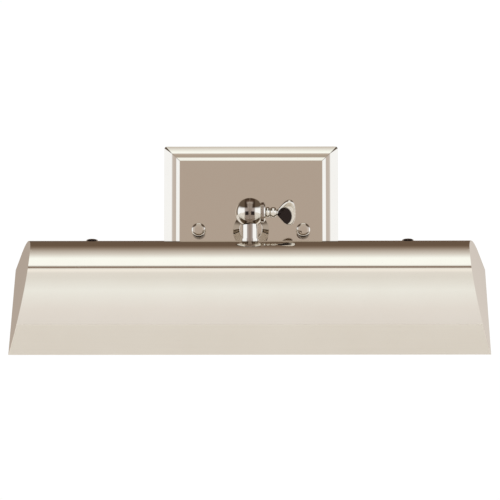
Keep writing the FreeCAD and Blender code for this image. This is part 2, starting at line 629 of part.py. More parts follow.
def clamp():
    """Friction washer, clamp collar and thumb screw."""
    middle = ("0", KNUCKLE_Y, "0")
    reach = "size.washer_recess - size.collar_gap"
    washer = ring("friction_washer_body", "X", "size.screw_boss_diameter - size.washer_inset",
                  "size.clamp_diameter + 2 * size.clamp_hole_gap", "-(%s)" % reach, reach, middle)
    node(washer, "friction_washer")

    collar_start = "(%s + size.collar_gap)" % BALL_FLAT_X
    collar_end = "(%s + size.collar_width)" % collar_start
    hole = "size.clamp_diameter / 2 + size.clamp_hole_gap"
    rim = "size.collar_diameter / 2"
    corners = [(collar_start, hole), (collar_end, hole), (collar_end, rim + " - size.collar_width / 3"),
               ("%s - size.collar_width / 3" % collar_end, rim), (collar_start, rim)]
    node(turned("collar_body", "X", corners, middle), "clamp_collar")

    bead_start = "(%s + size.collar_gap)" % collar_end
    bead_end = "(%s + size.bead_width)" % bead_start
    grip_start = "(%s + size.second_bead_width)" % bead_end
    shank = "size.clamp_diameter / 2"
    bead = "size.bead_diameter / 2"
    second = "size.second_bead_diameter / 2"
    waist = "size.second_bead_diameter / %s" % WAIST_SHARE
    corners = [("-size.clamp_grip", "0"), ("-size.clamp_grip", shank), (bead_start, shank),
               (bead_start, "%s * %s" % (bead, BEAD_NECK)),
               ("%s + size.bead_width * %s" % (bead_start, BEAD_ROUND), bead),
               ("%s - size.bead_width * %s" % (bead_end, BEAD_ROUND), bead), (bead_end, waist),
               ("%s + size.second_bead_width * %s" % (bead_end, BEAD_ROUND), second),
               ("%s - size.second_bead_width * %s" % (grip_start, SECOND_BEAD_FRONT), second),
               (grip_start, waist),
               ("%s + size.thumb_length / 3" % grip_start, "size.thumb_thickness / 2"),
               ("%s + size.thumb_length / 3" % grip_start, "0")]
    shaft = turned("thumb_shaft", "X", corners, middle)

    grip = doc.addObject("PartDesign::Body", "thumb_grip")
    tall = "size.thumb_height / 2"
    shoulder_x = "%s * size.thumb_length" % GRIP_SHOULDER
    neck = "%s * size.thumb_height" % GRIP_NECK
    end = "%s * size.thumb_height" % GRIP_END
    corners = [("0", "-" + neck), (shoulder_x, "-" + tall), ("size.thumb_length", "-" + end),
               ("size.thumb_length", end), (shoulder_x, tall), ("0", neck)]
    add_pad(grip, outline(grip, "grip_outline", "XZ_Plane", corners), "size.thumb_thickness", both_ways=True)
    round_edges(grip, "grip_corners", "size.thumb_length * %s" % GRIP_CORNER,
                lambda edge: abs(edge.Length - size("thumb_thickness")) < 1e-6
                and edge.Vertexes[0].X > size("thumb_length") / 4)
    round_edges(grip, "grip_rim", "size.thumb_thickness * %s" % GRIP_RIM,
                lambda edge: abs(edge.Vertexes[0].Y - edge.Vertexes[-1].Y) < 1e-6
                and max(corner.X for corner in edge.Vertexes) > size("thumb_length") / 4)
    place(grip, (grip_start, KNUCKLE_Y, "0"))
    dish_radius = "(size.thumb_length * %s)" % DISH_RADIUS
    ball_radius = "((%s ^ 2 + size.thumb_dish ^ 2) / 2 / size.thumb_dish)" % dish_radius
    dish_x = "%s + size.thumb_length * %s" % (grip_start, DISH_PLACE)
    off_middle = "(size.thumb_thickness / 2 - size.thumb_dish + %s)" % ball_radius
    dishes = [
        primitive("Sphere", "dish", (dish_x, "%s + %s * %s" % (KNUCKLE_Y, side, off_middle), "0"),
                  Radius=ball_radius)
        for side in ("-1", "1")
    ]
    screw = cut("thumb_dished", fuse("thumb_solid", shaft, grip), *dishes)
    screw.Placement = Placement(Vector(), Rotation(Vector(1, 0, 0), size("thumb_turn")),
                                Vector(0, value(KNUCKLE_Y), 0))
    node(screw, "thumb_screw")


# ---------------------------------------------------------------------------------------------
# Hood: its own frame has Y from the front edge of the opening to the rear edge and Z out of it
# ---------------------------------------------------------------------------------------------
def hood_frame():
    """Placement that seats the hood's rear shoulder under the post and tips its opening."""
    tilt = math.radians(size("hood_tilt"))
    centre_y = size("hood_opening") - size("hood_corner")
    centre_z = size("hood_height") - size("hood_corner")
    base_y = value(KNUCKLE_Y) - centre_y * math.cos(tilt) + centre_z * math.sin(tilt)
    base_z = value(LAMP_Z) - centre_y * math.sin(tilt) - centre_z * math.cos(tilt)
    return Placement(Vector(0, base_y, base_z), Rotation(Vector(1, 0, 0), size("hood_tilt")))


def hood_section(inset):
    """Closed outline of the hood: front curve, rear shoulder, rear wall and the line of the opening."""
    top_y = size("hood_opening") - size("hood_corner")
    height = size("hood_height")
    front_radius = (top_y ** 2 + height ** 2) / (2 * height)
    radius = front_radius - inset
    drop = front_radius - height
    foot_y = top_y - math.sqrt(radius ** 2 - drop ** 2)
    start_angle = math.atan2(drop, foot_y - top_y)
    middle_angle = (start_angle + math.pi / 2) / 2
    corner = size("hood_corner") - inset
    corner_z = height - size("hood_corner")
    half = math.sqrt(0.5)
    foot = Vector(0, foot_y, 0)
    crown = Vector(0, top_y, height - inset)
    shoulder = Vector(0, top_y + corner, corner_z)
    heel = Vector(0, top_y + corner, 0)
    front_middle = Vector(0, top_y + radius * math.cos(middle_angle),
                          radius * math.sin(middle_angle) - drop)
    corner_middle = Vector(0, top_y + corner * half, corner_z + corner * half)
    lines = [Part.Arc(foot, front_middle, crown), Part.Arc(crown, corner_middle, shoulder),
             Part.LineSegment(shoulder, heel), Part.LineSegment(heel, foot)]
    return Part.Face(Part.Wire([line.toShape() for line in lines]))


def hood_block(inset):
    """The hood's outline run along its whole length."""
    length = 2 * size("hood_width")
    block = hood_section(inset).extrude(Vector(length, 0, 0))
    block.translate(Vector(-length / 2, 0, 0))
    return block


def between_ends(near, far):
    """Block between two planes that lean with the right end cap, at distances inside its outer face."""
    lean = math.tan(math.radians(size("end_lean")))
    across = 1 / math.cos(math.radians(size("end_lean")))
    half = size("hood_width") / 2
    margin = size("hood_corner")
    low = -margin
    high = size("hood_height") + margin

    def corner(inset, height):
        return Vector(half - inset * across - lean * height, -margin, height)

    corners = [corner(near, low), corner(near, high), corner(far, high), corner(far, low)]
    face = Part.Face(Part.makePolygon(corners + corners[:1]))
    return face.extrude(Vector(0, size("hood_opening") + 2 * margin, 0))


def hole_through_top(offset, radius):
    """Upright drill through the highest line of the hood, in the hood's own frame."""
    tilt = math.radians(size("hood_tilt"))
    up = Vector(0, math.sin(tilt), math.cos(tilt))
    corner = size("hood_corner")
    centre = Vector(offset, size("hood_opening") - corner, size("hood_height") - corner)
    return Part.makeCylinder(radius, corner, centre + up * (corner / 2), up)


def feature(label, shape, placement=None):
    """A sub-part whose shape comes from Part's own functions."""
    piece = doc.addObject("Part::Feature", label)
    piece.Shape = shape
    if placement is not None:
        piece.Placement = placement
    return node(piece, label)


def hood():
    """Shell of bent sheet and the two end caps that close it."""
    wall = size("hood_wall")
    cap = size("cap_wall")
    sheet_metal = hood_block(0).cut(hood_block(wall))
    ends = between_ends(-size("hood_width"), cap)
    shell = sheet_metal.cut(ends).cut(ends.mirror(Vector(), Vector(1, 0, 0)))
    shell = shell.cut(hole_through_top(0, size("nipple_diameter") / 2 + size("stub_fit")))
    for side in (-1, 1):
        offset = side * size("bracket_spacing") / 2
        shell = shell.cut(hole_through_top(offset, size("screw_diameter") / 2 + size("screw_gap")))
    feature("hood_shell", shell, hood_frame())

    inside = wall + size("cap_fit")
    cover = hood_block(0).common(between_ends(0, cap))
    lip = hood_block(inside).cut(hood_block(inside + wall))
    lip = lip.common(between_ends(cap, cap + size("cap_flange")))
    closing = cover.fuse(lip).removeSplitter()
    feature("end_cap_right", closing, hood_frame())
    feature("end_cap_left", closing.mirror(Vector(), Vector(1, 0, 0)), hood_frame())


def post_fastening():
    """Saddle, washer and nut that clamp the hood to the post's stub."""
    half = "size.saddle_width / 2"
    base = ("-(%s)" % half, "%s - %s" % (KNUCKLE_Y, half), SADDLE_BASE_Z)
    block = primitive("Box", "saddle_block", base, Length="size.saddle_width", Width="size.saddle_width",
                      Height="size.saddle_depth")
    round_top = primitive("Cylinder", "saddle_round", ("-size.saddle_width", KNUCKLE_Y, LAMP_Z), "X",
                          Radius="size.hood_corner - size.hood_wall - size.bracket_fit",
                          Height="2 * size.saddle_width")
    hole = primitive("Cylinder", "saddle_hole", ("0", KNUCKLE_Y, SADDLE_BASE_Z),
                     Radius="size.nipple_diameter / 2 + size.stub_fit", Height="size.saddle_depth * 2")
    node(cut("saddle", common("saddle_curved", block, round_top), hole), "post_saddle")
    washer_z = "%s - size.washer_thickness" % SADDLE_BASE_Z
    node(ring("post_washer", "Z", "size.nipple_washer_diameter", "size.nipple_diameter + 2 * size.stub_fit",
              washer_z, SADDLE_BASE_Z, ("0", KNUCKLE_Y, "0")), "post_lock_washer")
    node(hexagon_nut("post_nut_body", "Z", "size.nipple_nut_across", "size.nipple_nut_height",
                     "size.nipple_diameter + 2 * size.stud_fit", ("0", KNUCKLE_Y, POST_NUT_Z)), "post_nut")


def brackets():
    """Bent steel brackets under the hood's top, their screws and nuts."""
    screw_x = "size.bracket_spacing / 2"
    top_radius = "(size.hood_corner - size.hood_wall - size.bracket_fit)"
    half = "size.bracket_width / 2"
    inner_x = "(%s - size.bracket_tail)" % screw_x
    flange_length = "size.bracket_tail + size.bracket_reach"
    outer = primitive("Cylinder", "flange_outer", (inner_x, KNUCKLE_Y, LAMP_Z), "X", Radius=top_radius,
                      Height=flange_length)
    inner = primitive("Cylinder", "flange_inner", (inner_x, KNUCKLE_Y, LAMP_Z), "X",
                      Radius=top_radius + " - size.bracket_thickness", Height=flange_length)
    strip = primitive("Box", "flange_strip", (inner_x, "%s - %s" % (KNUCKLE_Y, half), LAMP_Z),
                      Length=flange_length, Width="size.bracket_width", Height="size.hood_corner")
    flange = common("flange", cut("flange_curve", outer, inner), strip)
    tab_strip = primitive("Box", "tab_strip", (TAB_INNER_X, "%s - %s" % (KNUCKLE_Y, half), LAMP_Z),
                          Length="size.bracket_thickness", Width="size.bracket_width",
                          Height="size.hood_corner")
    tab_round = primitive("Cylinder", "tab_round", (TAB_INNER_X, KNUCKLE_Y, LAMP_Z), "X", Radius=top_radius,
                          Height="size.bracket_thickness")
    tab_end = primitive("Cylinder", "tab_end", (TAB_INNER_X, KNUCKLE_Y, LAMP_Z), "X", Radius=half,
                        Height="size.bracket_thickness")
    bent = fuse("bracket_bent", flange, common("tab", tab_strip, tab_round), tab_end)
    clearance = "size.screw_diameter / 2 + size.screw_gap"
    screw_hole = primitive("Cylinder", "flange_hole", (screw_x, KNUCKLE_Y, LAMP_Z), Radius=clearance,
                           Height="size.hood_corner")
    tab_hole = primitive("Cylinder", "tab_hole", (TAB_INNER_X, KNUCKLE_Y, LAMP_Z), "X", Radius=clearance,
                         Height="size.bracket_thickness")
    left_and_right("lamp_bracket", cut("bracket_drilled", bent, screw_hole, tab_hole))

    nut_corner = "(size.lock_nut_across / 2 / cos(30 deg))"
    nut_top = "(%s + sqrt((%s - size.bracket_thickness) ^ 2 - %s ^ 2) - size.bracket_fit)" % (
        LAMP_Z, top_radius, nut_corner)
    nut_z = "(%s - size.lock_nut_height)" % nut_top
    shank = "size.screw_diameter / 2"
    head = "size.screw_head_diameter / 2"
    head_z = "(%s + size.bracket_fit)" % HOOD_TOP_Z
    corners = [("0", nut_z + " - size.stub_end"), (shank, nut_z + " - size.stub_end"), (shank, head_z),
               (head, head_z), (head, head_z + " + size.screw_head_height / 2"),
               (head + " * 0.6", head_z + " + size.screw_head_height"),
               ("0", head_z + " + size.screw_head_height")]
    pair("bracket_screws", turned("bracket_screw", "Z", corners, (screw_x, KNUCKLE_Y, "0")))
    pair("bracket_nuts", hexagon_nut("bracket_nut", "Z", "size.lock_nut_across", "size.lock_nut_height",
                                     "size.screw_diameter + 2 * size.stud_fit", (screw_x, KNUCKLE_Y, nut_z)))


def lampholders():
    """Insulating cups with a screw shell and a centre contact, screwed to the brackets."""
    axis = ("0", KNUCKLE_Y, LAMP_Z)
    outer = "size.holder_diameter / 2"
    shell_outer = "(%s / 2 + size.shell_wall)" % SHELL_INNER
    cavity = "(%s + size.shell_fit)" % shell_outer
    screw_bore = "size.screw_diameter / 2 + size.stud_fit"
    screw_depth = "(%s - size.holder_screw_grip - size.holder_screw_room)" % TAB_INNER_X
    corners = [(HOLDER_MOUTH_X, cavity), (HOLDER_FLOOR_X, cavity), (HOLDER_FLOOR_X, "0"), (screw_depth, "0"),
               (screw_depth, screw_bore), (TAB_INNER_X, screw_bore), (TAB_INNER_X, outer),
               (HOLDER_MOUTH_X, outer)]
    left_and_right("lampholder", turned("holder_cup", "X", corners, axis))

    shell_start = "(%s + size.shell_inset)" % HOLDER_MOUTH_X
    left_and_right("holder_shell", ring("shell_sleeve", "X", "2 * " + shell_outer, SHELL_INNER,
                                        shell_start, "%s + size.shell_length" % shell_start, axis))
    button = "size.lamp_cap_diameter / 8"
    corners = [(HOLDER_FLOOR_X, "0"), (HOLDER_FLOOR_X, SHELL_INNER + " / 4"),
               (HOLDER_FLOOR_X + " - size.contact_stroke / 4", SHELL_INNER + " / 4"),
               (HOLDER_FLOOR_X + " - size.contact_stroke / 2", button), (LAMP_BACK_X, button),
               (LAMP_BACK_X, "0")]
    left_and_right("holder_contact", turned("contact_body", "X", corners, axis))

    shank = "size.screw_diameter / 2"
    head = "size.screw_head_diameter / 2"
    tip = "%s - size.holder_screw_grip" % TAB_INNER_X
    corners = [(tip, "0"), (tip, shank), (TAB_OUTER_X, shank), (TAB_OUTER_X, head),
               (TAB_OUTER_X + " + size.screw_head_height", head),
               (TAB_OUTER_X + " + size.screw_head_height", "0")]
    pair("holder_screws", turned("holder_screw", "X", corners, axis))


def lamps():
    """Tubular screw-cap lamps, one in each lampholder, tips facing each other."""
    axis = ("0", KNUCKLE_Y, LAMP_Z)
    cap_back = "(%s - size.lamp_tip_height)" % LAMP_BACK_X
    skirt_back = "(%s - size.lamp_cap_length)" % cap_back
    skirt_front = "(%s - size.lamp_skirt_length)" % skirt_back
    cap_radius = "size.lamp_cap_diameter / 2"
    skirt = "size.lamp_skirt_diameter / 2"
    wall = "size.lamp_glass_wall"
    corners = [(cap_back, "0"), (cap_back, cap_radius), (skirt_back, cap_radius), (skirt_back, skirt),
               (skirt_front, skirt), (skirt_front, "%s - %s / 2" % (skirt, wall)),
               ("%s - %s" % (skirt_back, wall), "%s - %s / 2" % (skirt, wall)),
               ("%s - %s" % (skirt_back, wall), "%s - %s" % (cap_radius, wall)),
               ("%s - %s" % (cap_back, wall), "%s - %s" % (cap_radius, wall)),
               ("%s - %s" % (cap_back, wall), "0")]
    left_and_right("lamp_cap", turned("cap_shell", "X", corners, axis))

    button = "size.lamp_cap_diameter / 6"
    middle = "(%s - size.lamp_tip_height / 2)" % LAMP_BACK_X
    corners = [(LAMP_BACK_X, "0"), (LAMP_BACK_X, button), (middle, button), (middle, cap_radius + " * 0.6"),
               (cap_back, cap_radius + " * 0.95"), (cap_back, "0")]
    left_and_right("lamp_contact", turned("cap_insulator", "X", corners, axis))

    def glass_blank(name, inset):
        neck = "%s - %s / 2 - size.shell_fit - (%s)" % (skirt, wall, inset)
        side = "size.lamp_glass_diameter / 2 - (%s)" % inset
        seat = "(%s - 2 * %s)" % (skirt_back, wall)
        corners = [(seat + " - (%s)" % inset, "0"), (seat + " - (%s)" % inset, neck), (skirt_front, neck),
                   ("%s - size.lamp_glass_diameter / 6" % skirt_front, side),
                   (LAMP_TIP_X + " + (%s)" % inset, side), (LAMP_TIP_X + " + (%s)" % inset, "0")]
        body = turned(name, "X", corners, axis)
        tip_x = value(LAMP_TIP_X) + value(inset)
        round_edges(body, name + "_dome", "(%s) * 0.93" % side,
                    lambda edge: len(edge.Vertexes) == 1 and abs(edge.Vertexes[0].X - tip_x) < 1e-6)
        return body

    envelope = cut("glass_tube", glass_blank("glass_outer", "0"), glass_blank("glass_inner", wall))
    left_and_right("lamp_glass", envelope)

    stem_base = "(%s - 3 * %s - size.stem_gap)" % (skirt_back, wall)
    stem_top = "(%s - size.lamp_length / 5)" % stem_base
    neck = "(%s - 1.5 * %s - 2 * size.shell_fit)" % (skirt, wall)
    corners = [(stem_base, "0"), (stem_base, neck), (stem_base + " - size.stem_rim", neck),
               (stem_base + " - size.stem_taper", "size.stem_foot_radius"),
               (stem_top, "size.stem_top_radius"), (stem_top, "0")]
    stem = turned("stem", "X", corners, axis)
    wire_tip = "(%s + size.lamp_glass_diameter * 3 / 5)" % LAMP_TIP_X
    filament_back = "%s - size.filament_gap" % stem_top
    offset = "size.support_wire_offset"
    near_wire = primitive("Cylinder", "near_wire", (filament_back, KNUCKLE_Y, "%s + %s" % (LAMP_Z, offset)),
                          "X", Radius="size.support_wire_radius",
                          Height="size.filament_gap + size.support_wire_grip")
    far_wire = primitive("Cylinder", "far_wire", (wire_tip, KNUCKLE_Y, "%s - %s" % (LAMP_Z, offset)),
                         "X", Radius="size.support_wire_radius",
                         Height="%s - %s + size.support_wire_grip" % (stem_top, wire_tip))
    left_and_right("lamp_stem", fuse("stem_and_wires", stem, near_wire, far_wire))
    filament = primitive("Cylinder", "filament_coil", (wire_tip, KNUCKLE_Y, LAMP_Z + " - size.filament_drop"),
                         "X", Radius="size.filament_radius", Height="%s - %s" % (filament_back, wire_tip))
    left_and_right("lamp_filament", filament)


# ---------------------------------------------------------------------------------------------
# Leads: straight runs joined by tangent arcs
# ---------------------------------------------------------------------------------------------
BEND_SHARE = 0.45


def lead_shape(name, points):
    """Round tube along a route whose corners are arcs as large as the runs beside them allow."""
    points = [Vector(*point) for point in points]
    edges = []
    start = points[0]
    tightest = None
    for before, corner, after in zip(points, points[1:], points[2:]):
        into = corner - before
        out = after - corner
        back = min(into.Length, out.Length) * BEND_SHARE
        half_turn = into.getAngle(out) / 2
        radius = back / math.tan(half_turn)
        tightest = radius if tightest is None else min(tightest, radius)
        into.normalize()
        out.normalize()
        enter = corner - into * back
        leave = corner + out * back
        to_centre = out - into
        to_centre.normalize()
        middle = corner + to_centre * (radius / math.cos(half_turn) - radius)
        edges.append(Part.LineSegment(start, enter).toShape())
        edges.append(Part.Arc(enter, middle, leave).toShape())
        start = leave
    edges.append(Part.LineSegment(start, points[-1]).toShape())
    route = Part.Wire(edges)
    direction = points[1] - points[0]
    section = Part.Wire([Part.Circle(points[0], direction, size("lead_diameter") / 2).toShape()])
    tube = route.makePipeShell([section], True, True)
    expected = math.pi * size("lead_diameter") ** 2 / 4 * route.Length
    print("%s: length %.1f, tightest radius %.2f, volume ratio %.4f"
          % (name, route.Length, tightest, tube.Volume / expected))
    return tube


BLOCK_REACH = 400.0


def one_side(side):
    """Block on one side of the knuckle's seam, to part a lead where the knuckle turns."""
    start = size("split_gap") / 2 if side > 0 else -BLOCK_REACH - size("split_gap") / 2
    corner = Vector(start, -BLOCK_REACH, -BLOCK_REACH)
    return Part.makeBox(BLOCK_REACH, BLOCK_REACH * 2, BLOCK_REACH * 2, corner)


def big_block(low_y, low_z):
    """Block that starts at two planes and reaches past everything else."""
    return Part.makeBox(BLOCK_REACH * 2, BLOCK_REACH * 2, BLOCK_REACH * 2, Vector(-BLOCK_REACH, low_y, low_z))


def leads():
    """Line and neutral leads: plate to knuckle, knuckle to lampholders, and between lampholders.

    Each supply lead is parted at the knuckle's seam, where its two ends meet face to face at rest.
    """
    ball = value(KNUCKLE_Y)
    lamp_z = value(LAMP_Z)
    mouth = value(HOLDER_MOUTH_X)
    nut_stack = size("washer_thickness") + size("nipple_nut_height") + size("stub_end")
    exit_y = value(FACE_INSIDE_Y) + nut_stack
    cone_x = size("connector_side")
    cone_z = size("connector_mouth")
    line_turn = [(-1.5, ball + 5.8, -1.3), (1.5, ball + 1.3, -5.8)]
    neutral_turn = [(-1.7, ball + 5.6, 1.2), (-1.5, ball + 2.2, 5.2), (-0.6, ball - 2.2, 5.2),
                    (0.6, ball - 5.2, 2.2), (1.4, ball - 5.2, -2.2), (1.3, ball - 1.6, -6.0)]

    def plate_tail(side, height):
        return [(side * cone_x, exit_y + 1.0, side * (cone_z + size("connector_grip"))),
                (side * cone_x, exit_y + 1.2, side * (cone_z - 6.0)),
                (side * (cone_x - 4.0), exit_y + 2.4, side * (cone_z - 14.0)),
                (side * 2.6, exit_y + 4.2, side * 6.0), (0.0, exit_y + 2.0, height)]

    in_arm = {"line": [(0.6, ball + 60.0, -2.4), (-0.6, ball + 36.0, -2.5), (-1.5, ball + 14.0, -1.3)],
              "neutral": [(0.8, ball + 60.0, 0.3), (-0.5, ball + 36.0, 0.2), (-1.5, ball + 14.0, 1.1)]}
    arm_routes = {"line": plate_tail(-1, -1.3) + in_arm["line"] + line_turn,
                  "neutral": plate_tail(1, 1.1) + in_arm["neutral"] + neutral_turn[:4]}
    past_neck = big_block(value(TUBE_END_Y), -BLOCK_REACH)
    for name, route in arm_routes.items():
        label = "lead_%s_arm" % name
        feature(label, lead_shape(label, route).common(one_side(-1).fuse(past_neck)))

    def beside_lamp(side, depth, height):
        run_y, run_z = ball - depth, lamp_z + height
        return [(side * 26.0, run_y, run_z), (side * 52.0, run_y - 0.8, run_z - 0.9),
                (side * (mouth - 4.0), run_y + 0.4, run_z + 0.7)]

    down = {"line": [(1.5, ball + 1.1, -19.0), (1.5, ball + 0.6, -30.0), (5.0, ball - 4.0, -34.0),
                     (13.5, ball - 9.5, -32.3)],
            "neutral": [(1.4, ball - 1.5, -18.0), (1.1, ball - 1.8, -30.0), (-1.2, ball - 6.6, -34.4),
                        (-11.5, ball - 11.0, -32.5)]}
    to_terminal = {side: [(side * (mouth + 9.0), ball - 10.8, lamp_z + 14.6),
                          (side * (mouth + 16.0), ball - 7.4, lamp_z + 11.4)] for side in (-1, 1)}
    hood_routes = {"line": line_turn + down["line"] + beside_lamp(1, 11.8, 12.6) + to_terminal[1],
                   "neutral": (neutral_turn[2:] + down["neutral"] + beside_lamp(-1, 11.8, 12.6)
                               + to_terminal[-1])}
    below_ball = value(HOOD_TOP_Z) / 2
    lower = big_block(-BLOCK_REACH, below_ball - 2 * BLOCK_REACH)
    for name, route in hood_routes.items():
        label = "lead_%s_hood" % name
        feature(label, lead_shape(label, route).common(one_side(1).fuse(lower)))

    def jumper_route(depth, height, end_depth, end_height):
        run_y, run_z = ball - depth, lamp_z + height
        right = [(22.0, run_y, run_z + 0.5), (56.0, run_y + 0.7, run_z - 0.6),
                 (mouth + 8.0, run_y - 0.6, run_z + 0.4),
                 (mouth + 16.0, ball - end_depth, lamp_z + end_height)]
        left = [(-x - 3.0 if index < 2 else -x, y, z + 0.3) for index, (x, y, z) in enumerate(right)]
        return left[::-1] + right

    feature("jumper_line", lead_shape("jumper_line", jumper_route(14.6, 9.0, 12.0, 6.4)))
    feature("jumper_neutral", lead_shape("jumper_neutral", jumper_route(15.6, 5.4, 13.3, 2.6)))


def wire_connectors():
    """Two closed cones on the leads' ends inside the back plate, ready for the building's wires."""
    nut_stack = "size.washer_thickness + size.nipple_nut_height + size.stub_end"
    cone_y = "(%s + %s + 1)" % (FACE_INSIDE_Y, nut_stack)
    rim = "size.connector_diameter / 2"
    bore = "size.lead_diameter / 2 + size.stud_fit"
    mouth = "size.connector_mouth"
    floor = "(size.connector_mouth + size.connector_grip * 1.05)"
    tip = "(size.connector_mouth + size.connector_length)"
    cones = []
    for name, sign in (("upper_cone", "1"), ("lower_cone", "-1")):
        start, inside, end = ("%s * %s" % (sign, height) for height in (mouth, floor, tip))
        corners = [(bore, start), (rim, start), (rim + " * 0.6", end), ("0", end), ("0", inside),
                   (bore, inside)]
        cones.append(turned(name, "Z", corners, (sign + " * size.connector_side", cone_y, "0")))
    group = doc.addObject("Part::Compound", "wire_connectors")
    group.Links = cones
    node(group, "wire_connectors")


back_plate()
mounting_strap()
plate_fasteners()
arm()
knuckle_arm_half()
knuckle_hood_half()
clamp()
hood()
post_fastening()
brackets()
lampholders()
lamps()
leads()
wire_connectors()

# ---------------------------------------------------------------------------------------------
# Check every object, then write one file for each node
# ---------------------------------------------------------------------------------------------
doc.recompute()
for piece in doc.Objects:
    if any(word in state for state in piece.State for word in ("Invalid", "Error")):
        raise RuntimeError("%s failed: %s" % (piece.Label, piece.State))
os.makedirs("parts", exist_ok=True)
for piece in nodes:
    if piece.Shape.isNull() or not piece.Shape.isValid() or not piece.Shape.Solids:
        raise RuntimeError(piece.Label + ": no valid solid")
for piece in nodes:
    piece.Shape.exportStep("parts/%s.step" % piece.Label)
print(len(nodes), "nodes written")
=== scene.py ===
"""Picture light: mirror-nickel hood on a ball knuckle, arm and square back plate, with its two lamps.

Metres, in the frame of the CAD model: +X to the viewer's right, +Y into the wall, +Z up.
"""

import bmesh
import bpy
import math
from mathutils import Matrix, Vector


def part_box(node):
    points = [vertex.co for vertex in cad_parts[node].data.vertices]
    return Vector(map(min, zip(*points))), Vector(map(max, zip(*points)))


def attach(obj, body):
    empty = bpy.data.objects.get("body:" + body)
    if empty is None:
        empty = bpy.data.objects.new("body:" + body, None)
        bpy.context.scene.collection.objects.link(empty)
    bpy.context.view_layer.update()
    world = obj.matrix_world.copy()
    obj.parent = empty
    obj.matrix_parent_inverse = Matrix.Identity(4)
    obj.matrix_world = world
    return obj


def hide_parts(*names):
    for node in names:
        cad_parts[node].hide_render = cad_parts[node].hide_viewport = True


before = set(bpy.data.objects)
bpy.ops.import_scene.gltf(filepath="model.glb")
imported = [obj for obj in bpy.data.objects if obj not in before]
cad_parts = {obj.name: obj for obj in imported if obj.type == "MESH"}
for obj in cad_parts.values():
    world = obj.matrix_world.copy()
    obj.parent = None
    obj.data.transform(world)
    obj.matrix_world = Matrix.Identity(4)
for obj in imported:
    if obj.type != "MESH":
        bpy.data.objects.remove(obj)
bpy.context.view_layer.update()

MM = 0.001
KNUCKLE = Vector((0.0, -105.5 * MM, 0.0))


# ---------------------------------------------------------------------------------------------
# Node trees, written as expressions
# ---------------------------------------------------------------------------------------------
class Value:
    """One output of a node.  Sums, products and quotients of values add Math nodes."""

    def __init__(self, tree, socket):
        self.tree = tree
        self.socket = socket

    def math(self, operation, first, second=0.0):
        return self.tree.node("ShaderNodeMath", {"operation": operation}, {0: first, 1: second})

    def __add__(self, other):
        return self.math("ADD", self, other)

    def __radd__(self, other):
        return self.math("ADD", other, self)

    def __sub__(self, other):
        return self.math("SUBTRACT", self, other)

    def __rsub__(self, other):
        return self.math("SUBTRACT", other, self)

    def __mul__(self, other):
        return self.math("MULTIPLY", self, other)

    def __rmul__(self, other):
        return self.math("MULTIPLY", other, self)

    def __truediv__(self, other):
        return self.math("DIVIDE", self, other)

    def limited(self, low, high):
        """This value kept between two others."""
        return self.math("MINIMUM", self.math("MAXIMUM", self, low), high)

    def sine(self):
        return self.math("SINE", self)

    def cosine(self):
        return self.math("COSINE", self)


class Tree:
    """A shader or geometry tree, filled by one method."""

    def __init__(self, group):
        self.group = group

    def node(self, kind, settings=None, sockets=None, output=0):
        """Add a node: its settings first, then numbers or links into its sockets; gives one output."""
        made = self.group.nodes.new(kind)
        for key, setting in (settings or {}).items():
            if key == "stops":
                self.set_stops(made.color_ramp, setting)
            else:
                setattr(made, key, setting)
        for key, given in (sockets or {}).items():
            if isinstance(given, Value):
                self.group.links.new(given.socket, made.inputs[key])
            else:
                made.inputs[key].default_value = given
        return Value(self, made.outputs[output]) if made.outputs else made

    def set_stops(self, ramp, stops):
        """Give a colour ramp its stops, as pairs of place and colour."""
        while len(ramp.elements) < len(stops):
            ramp.elements.new(0.5)
        for element, (spot, tint) in zip(ramp.elements, stops):
            element.position = spot
            element.color = (*tint, 1.0)

    def blend(self, share, first, second):
        """Mix of two colours."""
        return self.node("ShaderNodeMix", {"data_type": "RGBA"}, {0: share, 6: first, 7: second}, 2)

    def noise(self, at, scale, detail=3.0, roughness=0.5, distortion=0.0):
        return self.node("ShaderNodeTexNoise", None,
                         {"Vector": at, "Scale": scale, "Detail": detail, "Roughness": roughness,
                          "Distortion": distortion})

    def part(self, vector, axis):
        """The X, Y or Z of a vector."""
        return self.node("ShaderNodeSeparateXYZ", None, {0: vector}, axis)

    def window(self, value, low, high):
        """0 below low, 1 above high, smooth between."""
        return self.node("ShaderNodeMapRange", {"interpolation_type": "SMOOTHSTEP"},
                         {"Value": value, "From Min": low, "From Max": high})


# ---------------------------------------------------------------------------------------------
# Finishes
# ---------------------------------------------------------------------------------------------
NICKEL = (0.66, 0.61, 0.53)
NICKEL_HAZE = (0.69, 0.645, 0.57)
NICKEL_WEAR = (0.57, 0.50, 0.40)
# Painted reflections and painted shade: colours laid into the nickel's base colour where a face turns to
# darker parts of the room, not the metal's own colour.
PAINTED_ROOM_REFLECTION = (0.385, 0.312, 0.242)
PAINTED_STRIPE_REFLECTION = (0.26, 0.205, 0.165)
PAINTED_DARK_REFLECTION = (0.025, 0.018, 0.016)
PAINTED_CAP_REFLECTION = (0.475, 0.44, 0.38)


class Finish(Tree):
    """A material whose pattern lies on the piece's own coordinates."""

    def __init__(self, name):
        self.material = bpy.data.materials.new(name)
        self.material.use_nodes = True
        super().__init__(self.material.node_tree)
        self.group.nodes.clear()
        self.at = self.node("ShaderNodeTexCoord", output="Object")

    def facing(self, axis):
        """How far a face looks along an axis of the piece."""
        return self.part(self.node("ShaderNodeTexCoord", output="Normal"), axis)

    def front(self):
        """How far a face looks towards the room."""
        return 0.0 - self.facing("Y")

    def stretched(self, across, along, up):
        """The piece's coordinates, drawn out by three factors."""
        return self.node("ShaderNodeMapping", None, {"Vector": self.at, "Scale": (across, along, up)})

    def bump(self, height, distance):
        return self.node("ShaderNodeBump", None,
                         {"Height": height, "Distance": distance, "Strength": 1.0})

    def surface(self, **sockets):
        """Close the material with one Principled shader; underscores stand for spaces."""
        named = {key.replace("_", " "): given for key, given in sockets.items()}
        shader = self.node("ShaderNodeBsdfPrincipled", None, named)
        self.node("ShaderNodeOutputMaterial", None, {"Surface": shader})
        return self.material


def colour(*parts):
    return (*parts, 1.0)


